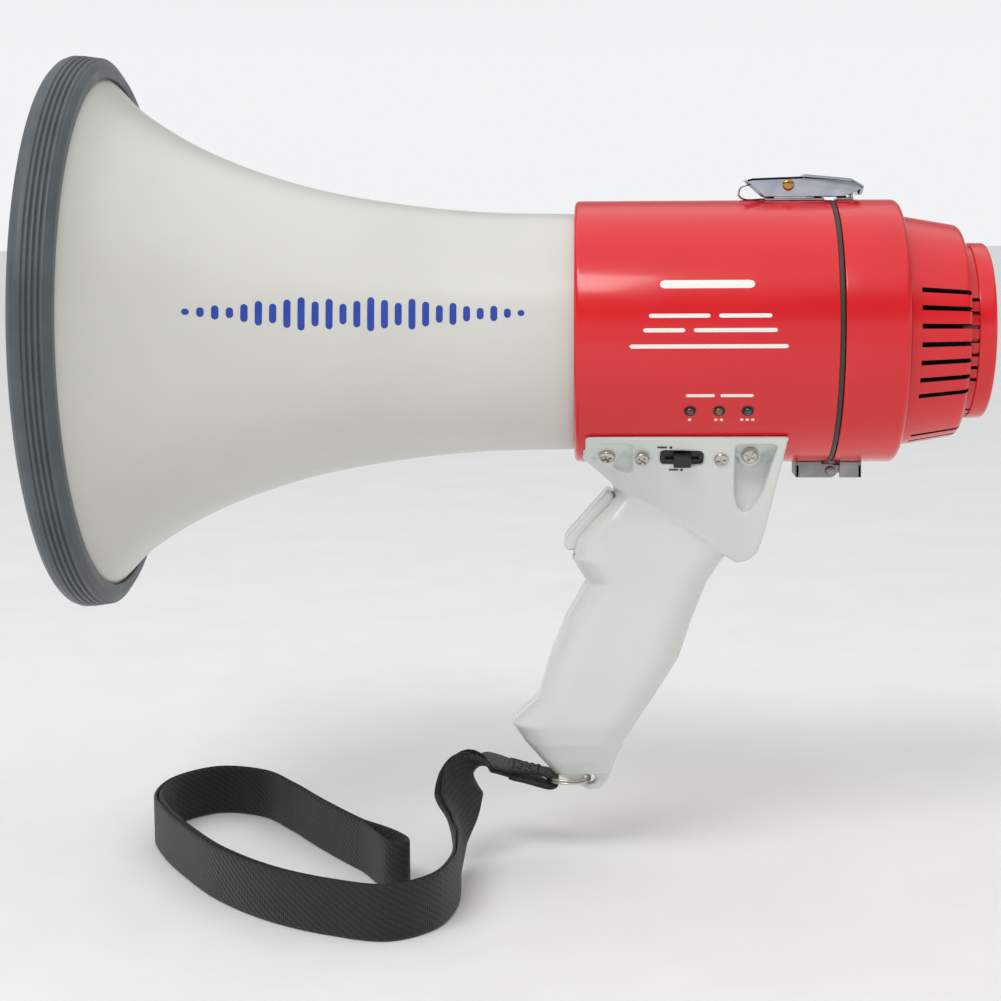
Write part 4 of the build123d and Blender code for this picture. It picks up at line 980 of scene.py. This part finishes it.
def moulded_shell(node, side, voxel=0.8, passes=5):
    """Copy of a CAD shell, rebuilt on a fine grid and relaxed, so that its edges read as moulded. Screw
    seats are filled up to the level of the heads."""
    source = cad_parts[node]
    obj = bpy.data.objects.new(node + "_shell", source.data.copy())
    bpy.context.scene.collection.objects.link(obj)
    bm = bmesh.new()
    bm.from_mesh(obj.data)
    bmesh.ops.remove_doubles(bm, verts=bm.verts, dist=2e-6)
    for x, end in SEATS:
        ring = [(x + 4.3 * cos(a), SCREW_Z + 4.3 * sin(a))
                for a in np.linspace(0, 2 * pi, 32, endpoint=False)]
        low = [bm.verts.new(tuple(p)) for p in row([(px, side * 20.0, pz) for px, pz in ring])]
        top = [bm.verts.new(tuple(p)) for p in row([(px, side * end(pz), pz) for px, pz in ring])]
        bm.faces.new(low)
        bm.faces.new(top[::-1])
        for i in range(32):
            bm.faces.new((low[i], top[i], top[(i + 1) % 32], low[(i + 1) % 32]))
    bmesh.ops.recalc_face_normals(bm, faces=bm.faces)
    bm.to_mesh(obj.data)
    bm.free()
    remesh = obj.modifiers.new("grid", "REMESH")
    remesh.mode, remesh.voxel_size, remesh.adaptivity = "VOXEL", voxel / 1000, 0.0
    relax = obj.modifiers.new("relax", "SMOOTH")
    relax.factor, relax.iterations = 0.5, passes
    bake(obj)
    obj.data.materials.clear()
    obj.data.materials.append(M["grip"])
    obj.data.shade_smooth()
    return obj


ship(moulded_shell("handle_left", -1), "main", "grey_abs", "handle_left")
ship(moulded_shell("handle_right", 1), "main", "grey_abs", "handle_right")

trigger_outline = [(203.6, -60.0), (187.8, -77.9), (187.0, -79.6), (187.2, -81.4), (188.6, -82.8),
                   (190.6, -83.0), (192.4, -82.0), (196.0, -76.6), (206.0, -66.4), (206.0, -61.4)]
paddle = prism("paddle", trigger_outline, -10.0, 10.0, M["grip"], 1.2, 1.0)
boss_loop = soften([(-9.9, 1.3), (-9.9, 3.0), (9.9, 3.0), (9.9, 1.3)], 0.2)
boss = turned("boss", boss_loop, M["grip"], (208.6, 0, -64.4), (0, 1, 0), 48)
ship(join("trigger_piece", paddle, boss), "trigger_lever", "grey_abs", "trigger")

# The leaf spring behind the trigger: the real one closes up as the trigger is pulled, this copy rides with
# the main body in one shape.
spring = bpy.data.objects.new("trigger_leaf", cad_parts["trigger_spring"].data.copy())
bpy.context.scene.collection.objects.link(spring)
spring.data.materials.clear()
spring.data.materials.append(M["steel"])
ship(spring, "main", "screw_nickel", "trigger_spring")
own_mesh(spring)

# The mode switch and its marks sit on the leaning face: local Z points out of it.
face = Matrix.Translation((SWITCH_X, switch_face, SWITCH_Z)) @ Matrix.Rotation(pi / 2 + TILT, 4, "X")
knob_box = box("knob_block", (6.4, 4.8, 3.8), M["black"], face @ Matrix.Translation((0, 0, 0.9)), 0.45)
knob_stem = box("knob_stem", (3.0, 1.4, 1.0), M["black"], face @ Matrix.Translation((0, 0, -1.4)), 0)
ship(join("mode_knob_piece", knob_box, knob_stem), "mode_slider", "knob_plastic", "mode_knob")
ticks = [box("tick", (0.9, 0.9, 0.16), M["mark"], face @ Matrix.Translation((x, y, 0.0)), 0)
         for x, y in ((-4.2, 5.0), (4.2, 5.0), (0.0, -5.0))]
ticks += [box("tick", (3.4, 0.55, 0.16), M["mark"], face @ Matrix.Translation((x, y, 0.0)), 0)
          for x, y in ((-7.4, 5.0), (7.4, 5.0), (-3.0, -5.0), (3.0, -5.0))]
ship(join("switch_print", *ticks), "main", "grey_abs")


# ---- split ring -----------------------------------------------------------------------------------
def tube_along(name, path, radius, material, parts=14, squash=1.0):
    """Round wire along a path, flattened upright by the squash share."""
    path, n = np.asarray(path, float), len(path)
    tangent = np.gradient(path, axis=0)
    tangent /= np.linalg.norm(tangent, axis=1)[:, None]
    up = np.tile([0.0, 0.0, 1.0], (n, 1))
    up -= (up * tangent).sum(1)[:, None] * tangent
    up /= np.linalg.norm(up, axis=1)[:, None]
    side = np.cross(tangent, up)
    verts = [path[i] + radius * (cos(a) * side[i] + squash * sin(a) * up[i])
             for i in range(n) for a in np.linspace(0, 2 * pi, parts, endpoint=False)]
    faces = [(i * parts + k, i * parts + (k + 1) % parts,
              (i + 1) * parts + (k + 1) % parts, (i + 1) * parts + k)
             for i in range(n - 1) for k in range(parts)]
    faces += [tuple(range(parts)), tuple((n - 1) * parts + k for k in range(parts - 1, -1, -1))]
    return make(name, row(verts), faces, material, 60)


# Two turns of wire, side by side, that cross over in a short step.
COIL_STEPS, COIL_START, COIL_R, CROSSING = 240, 0.9, 8.6, 0.9
coil = []
for i in range(COIL_STEPS):
    a = 4 * pi * i / (COIL_STEPS - 1) + COIL_START
    step = np.clip((a - COIL_START - 2 * pi + CROSSING / 2) / CROSSING, 0, 1)
    lift = -0.5 + (step * step * (3 - 2 * step))
    coil.append((196.9 - COIL_R + COIL_R * cos(a), COIL_R * sin(a), -174.2 + lift))
ship(tube_along("ring", coil, 0.55, M["nickel"], squash=0.9), "ring", "screw_nickel", "split_ring")


# ---- wrist strap ----------------------------------------------------------------------------------
WEB_THICK, STRAP_WIDE, STRAP_STEPS = 1.3, 19.8, 1100
FOLD_STEPS, STITCH_PITCH = 90, 0.0024                          # the pitch is in metres

# Sewn tab: the webbing comes in along the top, turns round the ring and goes back underneath.
fold_path = through([(165.2, 0, -169.3), (171.0, 0, -170.6), (177.0, 0, -171.9), (181.2, 0, -172.8),
                     (183.6, 0, -174.4), (183.9, 0, -176.2), (181.9, 0, -177.3), (177.0, 0, -176.4),
                     (171.0, 0, -174.4), (165.4, 0, -172.6)], FOLD_STEPS)
fold_width = 13.2 + 5.6 * np.clip((176.5 - fold_path[:, 0]) / 9.0, 0, 1) ** 1.5
fold_across = np.tile([0.0, 1.0, 0.0], (FOLD_STEPS, 1))
fold = ribbon("fold", fold_path, fold_width, fold_across, WEB_THICK, M["web"])


def seam(points):
    """Seam line as a curve, for the stitches to follow."""
    curve = bpy.data.curves.new("seam", "CURVE")
    curve.dimensions = "3D"
    spline = curve.splines.new("POLY")
    spline.points.add(len(points) - 1)
    for point, at in zip(spline.points, row(points)):
        point.co = (*at, 1.0)
    return curve


def top_z(x):
    """Height of the tab's upper face."""
    return float(np.interp(x, [165.2, 171.0, 177.0, 181.6], [-169.3, -170.6, -171.9, -172.9])) + 0.72


stitch_lines = []
SEAM_START, SEAM_END, SEAM_SIDE = 167.0, 176.6, 6.2
seam_x, seam_y = np.linspace(SEAM_START, SEAM_END, 8), np.linspace(-SEAM_SIDE, SEAM_SIDE, 8)
# a box of stitches with a cross in it
for points in ([(x, -SEAM_SIDE) for x in seam_x], [(x, SEAM_SIDE) for x in seam_x],
               [(SEAM_START, y) for y in seam_y], [(SEAM_END, y) for y in seam_y],
               [(x, (x - 171.8) * 1.29) for x in seam_x], [(x, (171.8 - x) * 1.29) for x in seam_x]):
    line = seam([(x, y, top_z(x)) for x, y in points])
    stitch_lines.append(run_tree("stitch", line, STITCHES, Pitch=STITCH_PITCH, Thread=M["thread"]))
ship(join("sewn_tab", fold, *stitch_lines), "ring", "strap_webbing", "strap_tab")

# Route of the strap, the middle of its two legs, from the tab to the loop's far end. On the floor the
# webbing stands on edge, and this is the height of its middle.
ON_EDGE = -194.9
ROUTE = [(165.6, 0.0, -170.9), (160.0, -0.3, -169.0), (155.0, -1.0, -168.0), (149.6, -4.0, -170.0),
         (146.6, -9.5, -175.6), (145.4, -18.0, -183.6), (146.2, -30.0, -191.0), (147.4, -45.0, -194.4),
         (147.6, -70.0, ON_EDGE), (141.5, -92.0, ON_EDGE), (127.0, -104.0, ON_EDGE), (106.0, -98.0, ON_EDGE),
         (84.0, -84.5, ON_EDGE), (62.0, -62.0, ON_EDGE), (45.0, -36.0, ON_EDGE), (31.0, -10.0, ON_EDGE),
         (23.0, 13.0, ON_EDGE), (26.0, 38.0, ON_EDGE), (41.0, 54.0, ON_EDGE), (60.0, 48.5, ON_EDGE),
         (75.0, 29.0, ON_EDGE), (90.0, 4.5, ON_EDGE), (105.0, -18.0, ON_EDGE), (118.0, -36.0, ON_EDGE),
         (128.0, -53.0, ON_EDGE)]
route = through(ROUTE, 520)
route_run = np.concatenate([[0], np.cumsum(np.linalg.norm(np.diff(route, axis=0), axis=1))])
total = route_run[-1]

# Width direction along the route: level at the tab, turning on edge down the neck.
keys = [(0, (0, 1, 0)), (8, (0.1, 1, 0)), (15, (0.50, 0.85, -0.10)), (25, (0.80, 0.55, -0.30)),
        (34, (0.70, 0.40, -0.60)), (46, (0.25, 0.20, -0.95)), (62, (0, 0.03, -1)), (80, (0, 0, -1)),
        (total, (0, 0, -1))]
key_runs = [run for run, _ in keys]
across = np.column_stack([np.interp(route_run, key_runs, [way[a] for _, way in keys])
                          for a in range(3)])
tangent = np.gradient(route, axis=0)
tangent /= np.linalg.norm(tangent, axis=1)[:, None]
across -= (across * tangent).sum(1)[:, None] * tangent
across /= np.linalg.norm(across, axis=1)[:, None]
normal = np.cross(tangent, across)

# The legs lie face to face, part a little down the neck, and open into an eye at the far end.
spread = 0.85 + 1.5 * np.exp(-((route_run - 34) / 11) ** 2) + 0.5 * np.exp(-((route_run - 230) / 60) ** 2)
eye = np.clip((route_run - (total - 34)) / 34, 0, 1)
spread = spread + 3.4 * np.sin(pi * np.minimum(eye, 0.82) / 1.64) ** 1.3
cap = np.clip((route_run - (total - 7)) / 7, 0, 1)
spread = spread * np.sqrt(np.clip(1 - cap ** 2, 0, 1))
strap_path = np.vstack([route + normal * spread[:, None], (route - normal * spread[:, None])[-2::-1]])
strap_across = np.vstack([across, across[-2::-1]])
even = np.concatenate([[0], np.cumsum(np.linalg.norm(np.diff(strap_path, axis=0), axis=1))])
samples = np.linspace(0, even[-1], STRAP_STEPS)
strap_path = np.column_stack([np.interp(samples, even, strap_path[:, a]) for a in range(3)])
strap_across = np.column_stack([np.interp(samples, even, strap_across[:, a]) for a in range(3)])
strap = ribbon("strap", strap_path, [STRAP_WIDE] * STRAP_STEPS, strap_across, WEB_THICK, M["web"])
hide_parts("strap_neck", "strap_loop")
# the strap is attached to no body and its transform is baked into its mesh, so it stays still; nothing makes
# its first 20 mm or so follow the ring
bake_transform(strap)


# ---- CAD nodes that show as they are --------------------------------------------------------------
PLAIN = {"throat_tube": "bell", "driver_housing": "alloy", "diaphragm": "film", "voice_coil": "copper",
         "front_plate": "zinc", "magnet": "ferrite", "yoke": "zinc", "bulkhead": "black",
         "amplifier_board": "board", "board_components": "parts", "light_board": "board",
         "battery_holder": "black", "battery_cells": "cell",
         "cell_contacts": "nickel", "housing_screws": "nickel", "mic_grille": "black", "mic_foam": "foam",
         "mic_capsule": "alloy", "volume_pot": "zinc", "trigger_pin": "steel", "trigger_spring": "steel",
         "microswitch": "black", "mode_switch": "black"}
for name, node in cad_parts.items():
    node.data.materials.clear()
    node.data.materials.append(M[PLAIN.get(name, "grip")])


# ---- floor, light and camera ----------------------------------------------------------------------
FLOOR_SIZE, FLOOR_GAP = 60, 0.0002                             # metres; the gap keeps the strap clear
floor_at = (0, 0, row([(0, 0, FLOOR_Z)])[0][2] - FLOOR_GAP)
bpy.ops.mesh.primitive_plane_add(size=FLOOR_SIZE, location=floor_at)
floor = bpy.context.object
floor.name = "floor"
floor.data.materials.append(moulded("pale studio floor", "#F4F4F3", "#F7F7F6", 0.6))

world = bpy.data.worlds.new("studio")
bpy.context.scene.world = world
bpy.context.scene.view_settings.view_transform = "Standard"
world.use_nodes = True
sky = world.node_tree
sky.nodes["Background"].inputs[0].default_value = rgb("#FAFBFC")
# a bright sweep round the horizon and overhead, with a dimmer band between that keeps shade on the edges
height = add(sky, "ShaderNodeSeparateXYZ", None, {0: add(sky, "ShaderNodeTexCoord").outputs["Generated"]})
sweep = add(sky, "ShaderNodeMapRange", {1: 0.08, 2: 0.30, 3: 0.93, 4: 0.26}, {0: height.outputs[2]},
            interpolation_type="SMOOTHSTEP")
overhead = add(sky, "ShaderNodeMapRange", {1: 0.45, 2: 0.75, 3: 0.0, 4: 0.78}, {0: height.outputs[2]},
               interpolation_type="SMOOTHSTEP")
level = add(sky, "ShaderNodeMath", None, {0: sweep.outputs[0], 1: overhead.outputs[0]}, operation="ADD")
sky.links.new(level.outputs[0], sky.nodes["Background"].inputs[1])


def light(name, at, target, size, power, colour="#FFFFFF"):
    """Soft rectangular lamp that points at a target, in row-frame metres."""
    data = bpy.data.lights.new(name, "AREA")
    data.shape, data.size, data.size_y = "RECTANGLE", size[0], size[1]
    data.energy, data.color = power, rgb(colour)[:3]
    lamp = bpy.data.objects.new(name, data)
    bpy.context.scene.collection.objects.link(lamp)
    lamp.location = at
    lamp.rotation_euler = (Vector(target) - Vector(at)).to_track_quat("-Z", "Y").to_euler()


light("key, above left", (-0.8, -1.35, 1.75), (-0.05, 0, 0.1), (1.5, 0.6), 19)

eye_at = Vector(row([(197.81, -794.45, 38.14)])[0])
yaw, pitch, roll = -0.0446, -0.1288, 0.0057
ahead = Vector((sin(yaw) * cos(pitch), cos(yaw) * cos(pitch), sin(pitch)))
right = Vector((cos(yaw), -sin(yaw), 0))
upward = right.cross(ahead)
right, upward = right * cos(roll) - upward * sin(roll), right * sin(roll) + upward * cos(roll)
data = bpy.data.cameras.new("camera")
data.lens, data.sensor_width = 74.61, 36
camera = bpy.data.objects.new("camera", data)
bpy.context.scene.collection.objects.link(camera)
camera.matrix_world = Matrix.Translation(eye_at) @ Matrix((right, upward, -ahead)).transposed().to_4x4()
bpy.context.scene.camera = camera
